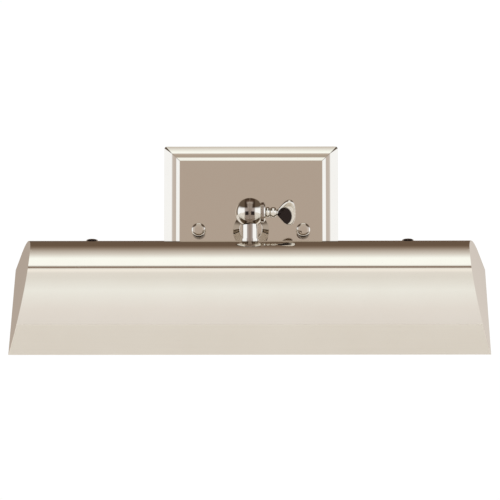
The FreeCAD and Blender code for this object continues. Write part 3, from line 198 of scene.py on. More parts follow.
def painted_room_reflection(start, full, shade):
    """Painted reflection of the darker room on what faces it: none at the first facing, full at the second.
    """
    return lambda finish: (finish.window(finish.front(), start, full), shade)


def painted_side_reflection(finish):
    """Painted shade on a flat end that faces sideways, darkening its reflection."""
    sideways = finish.facing("X")
    return finish.window(sideways * sideways, 0.6, 0.8), PAINTED_CAP_REFLECTION


def painted_middle_stripe(finish):
    """Painted brown reflection down the middle of what is turned about an upright line."""
    sideways = finish.facing("X")
    middle = 1.0 - finish.window(sideways * sideways, 0.08, 0.16)
    return middle * finish.window(finish.front(), 0.25, 0.45), PAINTED_STRIPE_REFLECTION


def painted_dark_marks(finish):
    """Two small painted dark reflections beside the seam of the ball, just under its middle."""
    sideways = finish.facing("X")
    across = sideways * sideways
    height = finish.facing("Z") + 0.18
    pair = finish.window(across, 0.004, 0.010) * (1.0 - finish.window(across, 0.085, 0.110))
    level = 1.0 - finish.window(height * height, 0.010, 0.020)
    return pair * level * finish.window(finish.front(), 0.5, 0.6), PAINTED_DARK_REFLECTION


def painted_low_crescent(finish):
    """Painted dark reflection as a crescent round the lower edge of a domed crown."""
    under = finish.window(0.0 - finish.facing("Z"), 0.45, 0.60)
    return under * (1.0 - finish.window(finish.front(), 0.80, 0.92)), PAINTED_DARK_REFLECTION


def painted_dark_dish(finish):
    """Painted dark reflection in the hollow of the thumb grip, an oval in front."""
    middle_x = 22.3 * MM
    middle_z = -2.4 * MM
    half_width = 4.7 * MM
    half_height = 5.4 * MM
    across = (finish.part(finish.at, "X") - middle_x) / half_width
    height = (finish.part(finish.at, "Z") - middle_z) / half_height
    inside = 1.0 - finish.window(across * across + height * height, 0.85, 1.15)
    return inside * finish.window(finish.front(), 0.2, 0.4), PAINTED_DARK_REFLECTION


def polished_nickel(name, *tones):
    """Mirror nickel: polishing haze, hand marks and hairlines, then its painted reflections and shade, one
    over the other.
    """
    finish = Finish(name)
    haze = finish.noise(finish.at, 34.0, 4.0, 0.55)
    marks = finish.window(finish.noise(finish.at, 110.0, 5.0, 0.6, 0.8), 0.52, 0.74)
    hairlines = finish.noise(finish.stretched(60.0, 1500.0, 1500.0), 1.0, 2.0, 0.6)
    wear = finish.window(finish.noise(finish.at, 420.0, 3.0, 0.6), 0.60, 0.80)
    tint = finish.blend(haze, colour(*NICKEL), colour(*NICKEL_HAZE))
    tint = finish.blend(0.10 * wear, tint, colour(*NICKEL_WEAR))
    for tone in tones:
        share, shade = tone(finish)
        tint = finish.blend(share, tint, colour(*shade))
    waves = finish.noise(finish.at, 16.0, 1.0)
    return finish.surface(Base_Color=tint, Metallic=1.0,
                          Roughness=0.022 + 0.030 * marks + 0.018 * hairlines + 0.012 * wear,
                          Normal=finish.bump(waves + 0.004 * hairlines, 0.00006))


def zinc_steel():
    """Zinc plate on steel: spangled, slightly dull and spotted."""
    finish = Finish("zinc_plated_steel")
    spangle = finish.node("ShaderNodeTexVoronoi", None, {"Vector": finish.at, "Scale": 900.0}, "Color")
    grey = finish.node("ShaderNodeRGBToBW", None, {"Color": spangle})
    cloud = finish.noise(finish.at, 70.0, 4.0)
    tint = finish.blend(0.35 * grey + 0.4 * cloud, colour(0.66, 0.66, 0.63), colour(0.47, 0.47, 0.45))
    spots = finish.window(finish.noise(finish.at, 260.0, 3.0), 0.63, 0.72)
    tint = finish.blend(0.5 * spots, tint, colour(0.78, 0.77, 0.72))
    return finish.surface(Base_Color=tint, Metallic=1.0, Roughness=0.26 + 0.16 * cloud + 0.10 * grey,
                          Normal=finish.bump(grey + 0.5 * cloud, 0.00002))


def dyed_screw():
    """Green dye over a steel ground screw, thin where the driver rubs."""
    finish = Finish("green_dyed_steel")
    rub = finish.window(finish.noise(finish.at, 600.0, 4.0), 0.52, 0.66)
    tint = finish.blend(rub, colour(0.03, 0.24, 0.07), colour(0.22, 0.42, 0.22))
    return finish.surface(Base_Color=tint, Metallic=0.85, Roughness=0.32 + 0.15 * rub,
                          Normal=finish.bump(rub, 0.00002))


def insulation(name, base, aged):
    """Extruded lead cover: slight gloss, fine ripples along it and handling dust."""
    finish = Finish(name)
    dust = finish.window(finish.noise(finish.at, 150.0, 5.0), 0.45, 0.75)
    ripple = finish.noise(finish.stretched(300.0, 900.0, 900.0), 1.0, 2.0)
    tint = finish.blend(0.6 * dust, colour(*base), colour(*aged))
    return finish.surface(Base_Color=tint, Roughness=0.34 + 0.22 * dust,
                          Normal=finish.bump(ripple, 0.00002))


def connector_plastic():
    """Moulded orange wire connector, satin, with a fine mould texture."""
    finish = Finish("orange_moulding")
    mottle = finish.noise(finish.at, 120.0, 4.0)
    grain = finish.noise(finish.at, 2600.0, 2.0)
    tint = finish.blend(mottle, colour(0.72, 0.19, 0.03), colour(0.80, 0.27, 0.06))
    return finish.surface(Base_Color=tint, Roughness=0.42 + 0.12 * mottle,
                          Normal=finish.bump(grain, 0.00003))


def glazed_porcelain():
    """White glaze over a fired body: cream pools, pin holes and a soft gloss."""
    finish = Finish("glazed_porcelain")
    pool = finish.noise(finish.at, 55.0, 3.0)
    pins = finish.window(finish.noise(finish.at, 1400.0, 2.0), 0.70, 0.78)
    tint = finish.blend(pool, colour(0.86, 0.84, 0.78), colour(0.80, 0.77, 0.69))
    tint = finish.blend(0.6 * pins, tint, colour(0.45, 0.40, 0.33))
    return finish.surface(Base_Color=tint, Roughness=0.16 + 0.12 * pool + 0.2 * pins, Coat_Weight=0.5,
                          Normal=finish.bump(pool - 0.4 * pins, 0.00008))


def plain_brass():
    """Unplated brass contacts, dulled and darker in patches."""
    finish = Finish("dull_brass")
    tarnish = finish.window(finish.noise(finish.at, 320.0, 5.0), 0.40, 0.72)
    tint = finish.blend(tarnish, colour(0.76, 0.57, 0.27), colour(0.42, 0.28, 0.12))
    return finish.surface(Base_Color=tint, Metallic=1.0, Roughness=0.24 + 0.25 * tarnish,
                          Normal=finish.bump(tarnish, 0.00001))


def rolled_aluminium():
    """Lamp cap: rolled aluminium with rings from the roller."""
    finish = Finish("rolled_cap")
    rings = finish.noise(finish.stretched(2600.0, 20.0, 20.0), 1.0, 2.0)
    dull = finish.noise(finish.at, 180.0, 3.0)
    tint = finish.blend(dull, colour(0.79, 0.78, 0.74), colour(0.60, 0.58, 0.53))
    return finish.surface(Base_Color=tint, Metallic=1.0, Roughness=0.22 + 0.2 * dull,
                          Normal=finish.bump(rings, 0.00003))


def clear_glass(name, tint_low, tint_high, cover):
    """Thin glass: mostly see-through, with faint draw lines and dust that catches the light."""
    finish = Finish(name)
    dust = finish.window(finish.noise(finish.at, 240.0, 5.0), 0.55, 0.80)
    draw = finish.noise(finish.stretched(12.0, 260.0, 260.0), 1.0, 2.0)
    tint = finish.blend(dust, colour(*tint_low), colour(*tint_high))
    return finish.surface(Base_Color=tint, Roughness=0.03 + 0.10 * dust, Alpha=cover + 0.10 * dust,
                          Specular_IOR_Level=0.8, Normal=finish.bump(draw, 0.00005))


def tungsten():
    """Drawn and coiled tungsten, dark with a dull sheen."""
    finish = Finish("tungsten_wire")
    bright = finish.noise(finish.at, 2200.0, 3.0)
    tint = finish.blend(bright, colour(0.13, 0.125, 0.12), colour(0.30, 0.29, 0.28))
    return finish.surface(Base_Color=tint, Metallic=1.0, Roughness=0.35 + 0.2 * bright,
                          Normal=finish.bump(bright, 0.00001))


FINISHES = {
    # The plate, boss and arm carry a painted reflection of the darker room on what faces it.
    "polished_nickel": polished_nickel("plate_nickel", painted_room_reflection(0.84, 0.93, PAINTED_ROOM_REFLECTION)),
    "zinc_steel": zinc_steel(),
    "green_screw": dyed_screw(),
    "black_insulation": insulation("black_lead", (0.018, 0.018, 0.018), (0.07, 0.065, 0.06)),
    "white_insulation": insulation("white_lead", (0.80, 0.79, 0.74), (0.62, 0.59, 0.52)),
    "connector_plastic": connector_plastic(),
    "holder_ceramic": glazed_porcelain(),
    "contact_brass": plain_brass(),
    "lamp_cap_metal": rolled_aluminium(),
    "lamp_glass": clear_glass("clear_lamp_glass", (0.95, 0.96, 0.95), (0.85, 0.84, 0.80), 0.16),
    "lamp_stem_glass": clear_glass("stem_glass", (0.86, 0.89, 0.87), (0.78, 0.80, 0.77), 0.40),
    "tungsten": tungsten(),
}
HOOD_NICKEL = polished_nickel("hood_nickel")
# The end caps, cap nuts, hood screws, knuckle and thumb screw carry painted reflections and painted shade
# in their base colour; the hood has none.
PAINTED_CAP_NICKEL = polished_nickel("end_cap_nickel", painted_side_reflection)
PAINTED_NUT_NICKEL = polished_nickel("cap_nut_nickel", painted_room_reflection(0.84, 0.93, PAINTED_ROOM_REFLECTION), painted_low_crescent)
PAINTED_SCREW_NICKEL = polished_nickel("screw_nickel", painted_room_reflection(0.45, 0.75, PAINTED_DARK_REFLECTION))
PAINTED_KNUCKLE_NICKEL = polished_nickel("knuckle_nickel", painted_middle_stripe, painted_dark_marks)
PAINTED_THUMB_NICKEL = polished_nickel("thumb_nickel", painted_dark_dish)


# ---------------------------------------------------------------------------------------------
# Ways of making a piece
# ---------------------------------------------------------------------------------------------
TURNED_STEPS = 96
FASTENER_STEPS = 64
SMALL_SCREW_STEPS = 48
SUPPORT = 0.12 * MM
SAME_POINT = 1e-7
SHARP_ANGLE = math.radians(40)


def softened(points, radius, steps=4):
    """A path of (along, out) points with its corners rounded and its straight runs kept flat."""
    points = [Vector(point) for point in points]
    path = [points[0]]
    for before, corner, after in zip(points, points[1:], points[2:]):
        into = (before - corner)
        out = (after - corner)
        turn = into.angle(out)
        reach = min(radius / math.tan(turn / 2), into.length * 0.4, out.length * 0.4)
        start = corner + into.normalized() * reach
        end = corner + out.normalized() * reach
        path.append(start + into.normalized() * min(SUPPORT, reach / 2))
        for step in range(steps + 1):
            share = step / steps
            path.append(start * (1 - share) ** 2 + corner * 2 * share * (1 - share) + end * share ** 2)
        path.append(end + out.normalized() * min(SUPPORT, reach / 2))
    return path + [points[-1]]


def to_mesh(name, made):
    """A finished bmesh as a mesh, its seams closed and its normals outwards."""
    bmesh.ops.remove_doubles(made, verts=made.verts, dist=SAME_POINT)
    bmesh.ops.recalc_face_normals(made, faces=made.faces)
    mesh = bpy.data.meshes.new(name)
    made.to_mesh(mesh)
    made.free()
    return mesh


def mesh_piece(name, mesh, finish):
    """A mesh as a smooth piece with one finish, at the origin."""
    mesh.materials.clear()
    mesh.materials.append(finish)
    for face in mesh.polygons:
        face.use_smooth = True
    mesh.set_sharp_from_angle(angle=SHARP_ANGLE)
    piece = bpy.data.objects.new(name, mesh)
    bpy.context.collection.objects.link(piece)
    return piece


def fitted(piece, body, slot, *nodes):
    """Mount a piece on its body in place of CAD nodes."""
    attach(piece, body)
    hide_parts(*nodes)
    return piece


def turned_piece(name, path, finish):
    """A piece turned about a line along Y through the origin."""
    made = bmesh.new()
    turned(made, path, along_y)
    return mesh_piece(name, to_mesh(name, made), finish)


def turned(made, path, place, steps=TURNED_STEPS):
    """Turn a path of (along, out) points; place gives the world point for along, side, up."""
    rings = []
    for along, out in path:
        if out < SAME_POINT:
            rings.append([made.verts.new(place(along, 0.0, 0.0))])
            continue
        angles = [2 * math.pi * step / steps for step in range(steps)]
        rings.append([made.verts.new(place(along, out * math.cos(a), out * math.sin(a))) for a in angles])
    for low, high in zip(rings, rings[1:]):
        for step in range(steps):
            after = (step + 1) % steps
            if len(low) == 1 and len(high) == 1:
                continue
            if len(low) == 1:
                made.faces.new((low[0], high[step], high[after]))
            elif len(high) == 1:
                made.faces.new((low[step], high[0], low[after]))
            else:
                made.faces.new((low[step], high[step], high[after], low[after]))


def along_y(along, side, up):
    """Placing for a piece turned about the line along Y through the origin."""
    return side, along, up


def upright_at(depth):
    """Placing for a piece turned about an upright line at a depth."""
    return lambda along, side, up: (side, depth + up, along)


# ---------------------------------------------------------------------------------------------
# Shapes that follow a rule
# ---------------------------------------------------------------------------------------------
def rule_tree(name, inputs):
    """An empty geometry tree with named inputs; gives the tree and its inputs as values."""
    group = bpy.data.node_groups.new(name, "GeometryNodeTree")
    group.interface.new_socket("Geometry", in_out="OUTPUT", socket_type="NodeSocketGeometry")
    for label, kind in inputs:
        group.interface.new_socket(label, in_out="INPUT", socket_type="NodeSocket" + kind)
    entry = group.nodes.new("NodeGroupInput")
    tree = Tree(group)
    return tree, {label: Value(tree, entry.outputs[label]) for label, kind in inputs}


def close_rule(tree, shape, finish):
    """End a geometry tree: real geometry, one finish."""
    real = tree.node("GeometryNodeRealizeInstances", None, {"Geometry": shape})
    painted = tree.node("GeometryNodeSetMaterial", None, {"Geometry": real, "Material": finish})
    tree.node("NodeGroupOutput", None, {"Geometry": painted})
    return tree.group


def by_rule(name, group, sizes, finish, start=None):
    """Run a geometry tree once and keep what it makes as a plain piece."""
    host = bpy.data.objects.new(name + "_rule", start or bpy.data.meshes.new(name + "_start"))
    bpy.context.collection.objects.link(host)
    modifier = host.modifiers.new("rule", "NODES")
    modifier.node_group = group
    for item in group.interface.items_tree:
        if item.in_out == "INPUT" and item.name in sizes:
            modifier[item.identifier] = sizes[item.name]
    graph = bpy.context.evaluated_depsgraph_get()
    mesh = bpy.data.meshes.new_from_object(host.evaluated_get(graph), depsgraph=graph)
    bpy.data.objects.remove(host)
    mesh.name = name
    return mesh_piece(name, mesh, finish)


def bent_sheet_tree(finish):
    """Hood skin: a grid bent to a front curve, a tight shoulder and a short straight back wall."""
    tree, size = rule_tree("bent_sheet", [
        ("Front Radius", "Float"), ("Front Angle", "Float"), ("Shoulder Radius", "Float"),
        ("Back Wall", "Float"), ("Shoulder Place", "Float"), ("Height", "Float"),
        ("Half Length", "Float"), ("Lean", "Float"), ("Base", "Vector"), ("Tilt", "Vector"),
        ("Steps Round", "Int"), ("Steps Along", "Int")])
    grid = tree.node("GeometryNodeMeshGrid", None, {
        "Size X": 2.0, "Size Y": 1.0, "Vertices X": size["Steps Along"], "Vertices Y": size["Steps Round"]})
    spot = tree.node("GeometryNodeInputPosition")
    across = tree.part(spot, "X")
    round_share = tree.part(spot, "Y") + 0.5
    front = size["Front Radius"] * (size["Front Angle"] - math.pi / 2)
    shoulder = size["Shoulder Radius"] * (math.pi / 2)
    run = round_share * (front + shoulder + size["Back Wall"])
    front_angle = size["Front Angle"] - run.limited(0.0, front) / size["Front Radius"]
    shoulder_angle = (run - front).limited(0.0, shoulder) / size["Shoulder Radius"]
    down = (run - front - shoulder).limited(0.0, size["Back Wall"])
    depth = (size["Shoulder Place"] + size["Front Radius"] * front_angle.cosine()
             + size["Shoulder Radius"] * shoulder_angle.sine())
    height = (size["Height"] - size["Front Radius"] * (1.0 - front_angle.sine())
              - size["Shoulder Radius"] * (1.0 - shoulder_angle.cosine()) - down)
    side = across * (size["Half Length"] - size["Lean"] * height)
    bent = tree.node("ShaderNodeCombineXYZ", None, {"X": side, "Y": depth, "Z": height})
    sheet = tree.node("GeometryNodeSetPosition", None, {"Geometry": grid, "Position": bent})
    tipped = tree.node("GeometryNodeTransform", None, {
        "Geometry": sheet, "Translation": size["Base"], "Rotation": size["Tilt"]})
    return close_rule(tree, tipped, finish)


def row_tree(name, finish):
    """The same fastener set several times in a row, a step apart."""
    tree, size = rule_tree(name, [
        ("Fastener", "Geometry"), ("Count", "Int"), ("First", "Vector"), ("Step", "Vector")])
    line = tree.node("GeometryNodeMeshLine", {"mode": "OFFSET"},
                     {"Count": size["Count"], "Start Location": size["First"], "Offset": size["Step"]})
    set_out = tree.node("GeometryNodeInstanceOnPoints", None,
                        {"Points": line, "Instance": size["Fastener"]})
    return close_rule(tree, set_out, finish)


def side_pair(name, fastener, spacing, finish):
    """The same fastener twice, one on either side of the middle."""
    sizes = {"Count": 2, "First": (-spacing / 2, 0.0, 0.0), "Step": (spacing, 0.0, 0.0)}
    return by_rule(name, row_tree(name + "_row", finish), sizes, finish, fastener)


COIL_STEPS = 10
WIRE_SIDES = 6


def coil_tree(finish):
    """Fine wire wound in a straight coil along X."""
    tree, size = rule_tree("wound_wire", [
        ("Turns", "Float"), ("Radius", "Float"), ("Length", "Float"), ("Wire Radius", "Float"),
        ("Middle", "Vector")])
    helix = tree.node("GeometryNodeCurveSpiral", None, {
        "Resolution": COIL_STEPS, "Rotations": size["Turns"], "Start Radius": size["Radius"],
        "End Radius": size["Radius"], "Height": size["Length"]})
    section = tree.node("GeometryNodeCurvePrimitiveCircle", None,
                        {"Resolution": WIRE_SIDES, "Radius": size["Wire Radius"]})
    wire = tree.node("GeometryNodeCurveToMesh", None,
                     {"Curve": helix, "Profile Curve": section, "Fill Caps": True})
    centred = tree.node("GeometryNodeTransform", None, {
        "Geometry": wire,
        "Translation": tree.node("ShaderNodeCombineXYZ", None, {"Z": size["Length"] * -0.5})})
    laid = tree.node("GeometryNodeTransform", None, {
        "Geometry": centred, "Translation": size["Middle"], "Rotation": (0.0, math.pi / 2, 0.0)})
    return close_rule(tree, laid, finish)


# ---------------------------------------------------------------------------------------------
# Back plate and what stands on it
# ---------------------------------------------------------------------------------------------
def square_ring(made, half, corner, depth, corner_steps=5):
    """One square loop with rounded corners at a depth in front of the wall."""
    corner = min(corner, half * 0.9)
    ring = []
    for quarter in range(4):
        middle = math.pi / 4 + quarter * math.pi / 2
        centre = Vector((math.cos(middle), math.sin(middle))) * (half - corner) * math.sqrt(2)
        for step in range(corner_steps):
            angle = middle - math.pi / 4 + math.pi / 2 * step / (corner_steps - 1)
            spot = centre + Vector((math.cos(angle), math.sin(angle))) * corner
            ring.append(made.verts.new((spot.x, depth, spot.y)))
    return ring


PLATE_WALL = 1.5 * MM
PLATE_RIM = 9.5 * MM
BAND = 5.7 * MM
BAND_RISE = 4.3 * MM
BAND_STEPS = 10
BAND_SWELL = 0.06
LEDGE = 2.6 * MM
LEDGE_RISE = 0.9 * MM
STEP = 2.4 * MM
CORNER = 1.9 * MM
LEAST_CORNER = 0.3 * MM


def plate_front(half, face):
    """Outside of the plate as (half width, depth) points: rim, bevelled band, ledge, step and face."""
    path = [(half, 0.0), (half, -PLATE_RIM + SUPPORT), (half, -PLATE_RIM)]
    for count in range(1, BAND_STEPS + 1):
        share = count / BAND_STEPS
        swell = BAND_SWELL * share * (1 - share)
        path.append((half - BAND * (share - swell), -PLATE_RIM - BAND_RISE * (share + swell)))
    ledge_out = half - BAND
    ledge_in = ledge_out - LEDGE
    face_half = ledge_in - STEP
    corners = [(ledge_out, -PLATE_RIM - BAND_RISE), (ledge_in, -PLATE_RIM - BAND_RISE - LEDGE_RISE),
               (face_half, face), (face_half / 2, face)]
    return path + [tuple(point) for point in softened(corners, 0.45 * MM)[1:]]


def plate_back(half, face):
    """Hollow of the plate as (half width, depth) points, from its floor out to the rim."""
    out = half - PLATE_WALL
    corners = [(out - 6 * MM, face + PLATE_WALL), (out - BAND - LEDGE - STEP, face + PLATE_WALL),
               (out - BAND - LEDGE, PLATE_WALL - PLATE_RIM - BAND_RISE - LEDGE_RISE),
               (out - BAND, PLATE_WALL - PLATE_RIM - BAND_RISE), (out, -PLATE_RIM), (out, 0.0),
               (half, 0.0)]
    return softened(corners, 0.3 * MM)[2:-1]


def back_plate():
    """Square pan with rounded corners, pressed from sheet and hollow behind."""
    low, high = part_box("back_plate")
    half = high.x
    face = low.y
    made = bmesh.new()
    inside = [square_ring(made, out, max(LEAST_CORNER, 1.0 * MM - (half - out) * 0.1), depth)
              for out, depth in plate_back(half, face)]
    outside = [square_ring(made, out, max(LEAST_CORNER, CORNER - (half - out) * 0.32), depth)
               for out, depth in plate_front(half, face)]
    rings = inside + outside
    for first, second in zip(rings, rings[1:]):
        for index in range(len(first)):
            after = (index + 1) % len(first)
            made.faces.new((first[index], first[after], second[after], second[index]))
    made.faces.new(rings[0])
    made.faces.new(rings[-1])
    name = "back_plate_polished"
    piece = mesh_piece(name, to_mesh(name, made), FINISHES["polished_nickel"])
    return fitted(piece, "wall_arm", "polished_nickel", "back_plate")


def plate_boss():
    """Coned boss where the arm leaves the plate, its edges eased."""
    low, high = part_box("arm_boss")
    out = high.x
    rim = 4.0 * MM
    nose = 7.5 * MM
    bore = 4.6 * MM
    path = softened([(high.y, bore), (high.y, out), (high.y - rim, out), (low.y, nose), (low.y, bore)],
                    0.5 * MM)
    piece = turned_piece("arm_boss_polished", path + [path[0]], FINISHES["polished_nickel"])
    return fitted(piece, "wall_arm", "polished_nickel", "arm_boss")


def cap_nuts():
    """Two round cap nuts with a low domed crown."""
    low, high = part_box("cap_nuts")
    out = (high.z - low.z) / 2
    spacing = high.x - low.x - 2 * out
    chamfer = 0.3 * MM
    crown = 1.6 * MM
    crown_steps = 12
    fullness = 0.55
    path = [(high.y, 0.0), (high.y, out - chamfer), (high.y - chamfer, out)]
    for count in range(crown_steps + 1):
        angle = math.pi / 2 * count / crown_steps
        path.append((low.y + crown * (1 - math.sin(angle)), out * math.cos(angle) ** fullness))
    made = bmesh.new()
    turned(made, path, along_y, FASTENER_STEPS)
    piece = side_pair("cap_nuts_polished", to_mesh("cap_nut", made), spacing, PAINTED_NUT_NICKEL)
    return fitted(piece, "wall_arm", "polished_nickel", "cap_nuts")


def arm_tube():
    """Straight arm tube."""
    low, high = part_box("arm_tube")
    out = high.x
    inner = 4.55 * MM
    path = softened([(high.y, inner), (high.y, out), (low.y, out), (low.y, inner)], 0.2 * MM)
    piece = turned_piece("arm_tube_polished", path + [path[0]], FINISHES["polished_nickel"])
    return fitted(piece, "wall_arm", "polished_nickel", "arm_tube")


# ---------------------------------------------------------------------------------------------
# Thumb screw
# ---------------------------------------------------------------------------------------------
THUMB_TURN = math.radians(25.0)
THUMB_PLACE = Matrix.Translation(KNUCKLE) @ Matrix.Rotation(THUMB_TURN, 4, "X")
SHAFT_RADIUS = 2.0 * MM
SHAFT_CHAMFER = 0.4 * MM
SHAFT_END = 9.85 * MM
BEADS = [(9.9, 12.9, 3.6, 2.4), (12.9, 17.1, 3.5, 2.2)]  # start, end, radius, waist, in millimetres
BEAD_STEPS = 14
NECK = [(18.5, 1.9), (20.0, 1.2), (20.2, 0.0)]  # along, out, in millimetres
GRIP_UPPER = [(17.6, 1.5), (19.6, 4.2), (22.4, 7.2), (25.2, 8.5), (27.6, 7.6), (28.9, 5.0), (29.35, 1.8)]
GRIP_MIDDLE = Vector((24.6, 0.0))
GRIP_HALF_THICK = 1.6
DISH_SHARE = 0.84
DISH_DEPTH = 1.15
DISH_STEPS = 8
LIP_STEPS = 8


def thumb_place(along, side, up):
    """World point of a point on the thumb screw, leant as it was last tightened."""
    return THUMB_PLACE @ Vector((along, side, up))


def round_path(points, steps):
    """A closed smooth line through points, with a number of steps between neighbours."""
    line = []
    count = len(points)
    for index in range(count):
        p0, p1, p2, p3 = (Vector(points[(index + shift) % count]) for shift in (-1, 0, 1, 2))
        for step in range(steps):
            t = step / steps
            line.append(0.5 * (2 * p1 + (p2 - p0) * t + (2 * p0 - 5 * p1 + 4 * p2 - p3) * t ** 2
                               + (3 * p1 - p0 - 3 * p2 + p3) * t ** 3))
    return line


def shaft_path(start):
    """Shaft, two turned beads and the neck that runs into the grip, as (along, out) points."""
    path = [(start, 0.0), (start, SHAFT_RADIUS - SHAFT_CHAMFER), (start + SHAFT_CHAMFER, SHAFT_RADIUS),
            (SHAFT_END, SHAFT_RADIUS)]
    for first, last, radius, waist in BEADS:
        for count in range(BEAD_STEPS + 1):
            angle = math.pi * count / BEAD_STEPS
            path.append(((first + last - (last - first) * math.cos(angle)) / 2 * MM,
                         (waist + (radius - waist) * math.sin(angle)) * MM))
    return path + [(along * MM, out * MM) for along, out in NECK]


def grip_section():
    """From the middle of the dish to the rim of the grip: (share of the outline, half thickness)."""
    section = []
    for count in range(DISH_STEPS + 1):
        share = count / DISH_STEPS
        section.append((DISH_SHARE * share, GRIP_HALF_THICK - DISH_DEPTH * (1 - share ** 2) ** 0.8))
    for count in range(1, LIP_STEPS + 1):
        angle = math.pi / 2 * count / LIP_STEPS
        section.append((DISH_SHARE + (1 - DISH_SHARE) * math.sin(angle),
                        GRIP_HALF_THICK * math.cos(angle)))
    return section


def grip_side(made, side):
    """One dished side of the grip; side is -1 in front and 1 behind."""
    lower = [(along, -up) for along, up in reversed(GRIP_UPPER)]
    outline = round_path(GRIP_UPPER + lower, 5)
    section = grip_section()
    middle = thumb_place(GRIP_MIDDLE.x * MM, side * section[0][1] * MM, 0.0)
    rings = [[made.verts.new(middle)]]
    for share, out in section[1:]:
        spots = [GRIP_MIDDLE + (spot - GRIP_MIDDLE) * share for spot in outline]
        rings.append([made.verts.new(thumb_place(spot.x * MM, side * out * MM, spot.y * MM))
                      for spot in spots])
    for first, second in zip(rings, rings[1:]):
        for index in range(len(outline)):
            after = (index + 1) % len(outline)
            if len(first) == 1:
                made.faces.new((first[0], second[index], second[after]))
            else:
                made.faces.new((first[index], second[index], second[after], first[after]))


def thumb_screw():
    """Screw with two turned beads and a dished heart-shaped grip."""
    made = bmesh.new()
    turned(made, shaft_path(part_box("thumb_screw")[0].x), thumb_place, FASTENER_STEPS)
    for side in (-1, 1):
        grip_side(made, side)
    name = "thumb_screw_polished"
    piece = mesh_piece(name, to_mesh(name, made), PAINTED_THUMB_NICKEL)
    return fitted(piece, "thumb_screw", "polished_nickel", "thumb_screw")


# ---------------------------------------------------------------------------------------------
# Hood
# ---------------------------------------------------------------------------------------------
HOOD_OPENING = 81.8 * MM
HOOD_HEIGHT = 37.5 * MM
HOOD_SHOULDER = 23.3 * MM
HOOD_WALL = 1.0 * MM
HOOD_TILT = math.radians(48.0)
END_LEAN = math.radians(18.3)
CAP_WALL = 1.2 * MM
HOOD_HALF_LENGTH = 152.5 * MM


def keep_rim_sharp(mesh):
    """Mark the open edges of a sheet, so that its faces stay flat right up to the rim."""
    made = bmesh.new()
    made.from_mesh(mesh)
    for edge in made.edges:
        if edge.is_boundary:
            edge.smooth = False
    made.to_mesh(mesh)
    made.free()


def hood_shell():
    """Bent sheet of the hood, a millimetre thick, open below and at both ends."""
    lamp_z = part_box("hood_shell")[1].z - HOOD_SHOULDER
    place = HOOD_OPENING - HOOD_SHOULDER
    rise = HOOD_HEIGHT - HOOD_SHOULDER
    base = Vector((0.0,
                   KNUCKLE.y - place * math.cos(HOOD_TILT) + rise * math.sin(HOOD_TILT),
                   lamp_z - place * math.sin(HOOD_TILT) - rise * math.cos(HOOD_TILT)))
    front_radius = (place ** 2 + HOOD_HEIGHT ** 2) / (2 * HOOD_HEIGHT)
    front_angle = math.atan2(front_radius - HOOD_HEIGHT, -place)
    half_length = HOOD_HALF_LENGTH - CAP_WALL / math.cos(END_LEAN)
    sizes = {
        "Front Radius": front_radius, "Front Angle": front_angle, "Shoulder Radius": HOOD_SHOULDER,
        "Back Wall": rise, "Shoulder Place": place, "Height": HOOD_HEIGHT, "Half Length": half_length,
        "Lean": math.tan(END_LEAN), "Base": base, "Tilt": (HOOD_TILT, 0.0, 0.0),
        "Steps Round": 180, "Steps Along": 25,
    }
    piece = by_rule("hood_shell_polished", bent_sheet_tree(HOOD_NICKEL), sizes, HOOD_NICKEL)
    keep_rim_sharp(piece.data)
    thick = piece.modifiers.new("sheet", "SOLIDIFY")
    thick.thickness = HOOD_WALL
    thick.offset = -1.0
    return fitted(piece, "hood", "polished_nickel", "hood_shell")


def bracket_screws():
    """Two low-domed screws on top of the hood."""
    low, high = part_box("bracket_screws")
    head = 3.8 * MM
    head_height = 1.7 * MM
    shank = 2.0 * MM
    rim = 0.3 * MM
    dome = 1.1 * MM
    dome_steps = 8
    spacing = high.x - low.x - 2 * head
    seat = high.z - head_height
    path = [(low.z, 0.0), (low.z, shank), (seat, shank), (seat, head), (seat + rim, head)]
    for count in range(1, dome_steps + 1):
        angle = math.pi / 2 * count / dome_steps
        path.append((seat + rim + dome * math.sin(angle), head * math.cos(angle)))
    made = bmesh.new()
    turned(made, path, upright_at((low.y + high.y) / 2), SMALL_SCREW_STEPS)
    piece = side_pair("bracket_screws_polished", to_mesh("bracket_screw", made), spacing, PAINTED_SCREW_NICKEL)
    return fitted(piece, "hood", "polished_nickel", "bracket_screws")


def filaments():
    """The wound filament of each lamp."""
    finish = FINISHES["tungsten"]
    group = coil_tree(finish)
    wire_radius = 0.11 * MM
    turns = 46.0
    for node in ("lamp_filament_right", "lamp_filament_left"):
        low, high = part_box(node)
        sizes = {"Turns": turns, "Radius": (high.z - low.z) / 2 - wire_radius,
                 "Length": high.x - low.x - 2 * wire_radius, "Wire Radius": wire_radius,
                 "Middle": (low + high) / 2}
        piece = by_rule(node + "_coil", group, sizes, finish)
        fitted(piece, "hood", "tungsten", node)


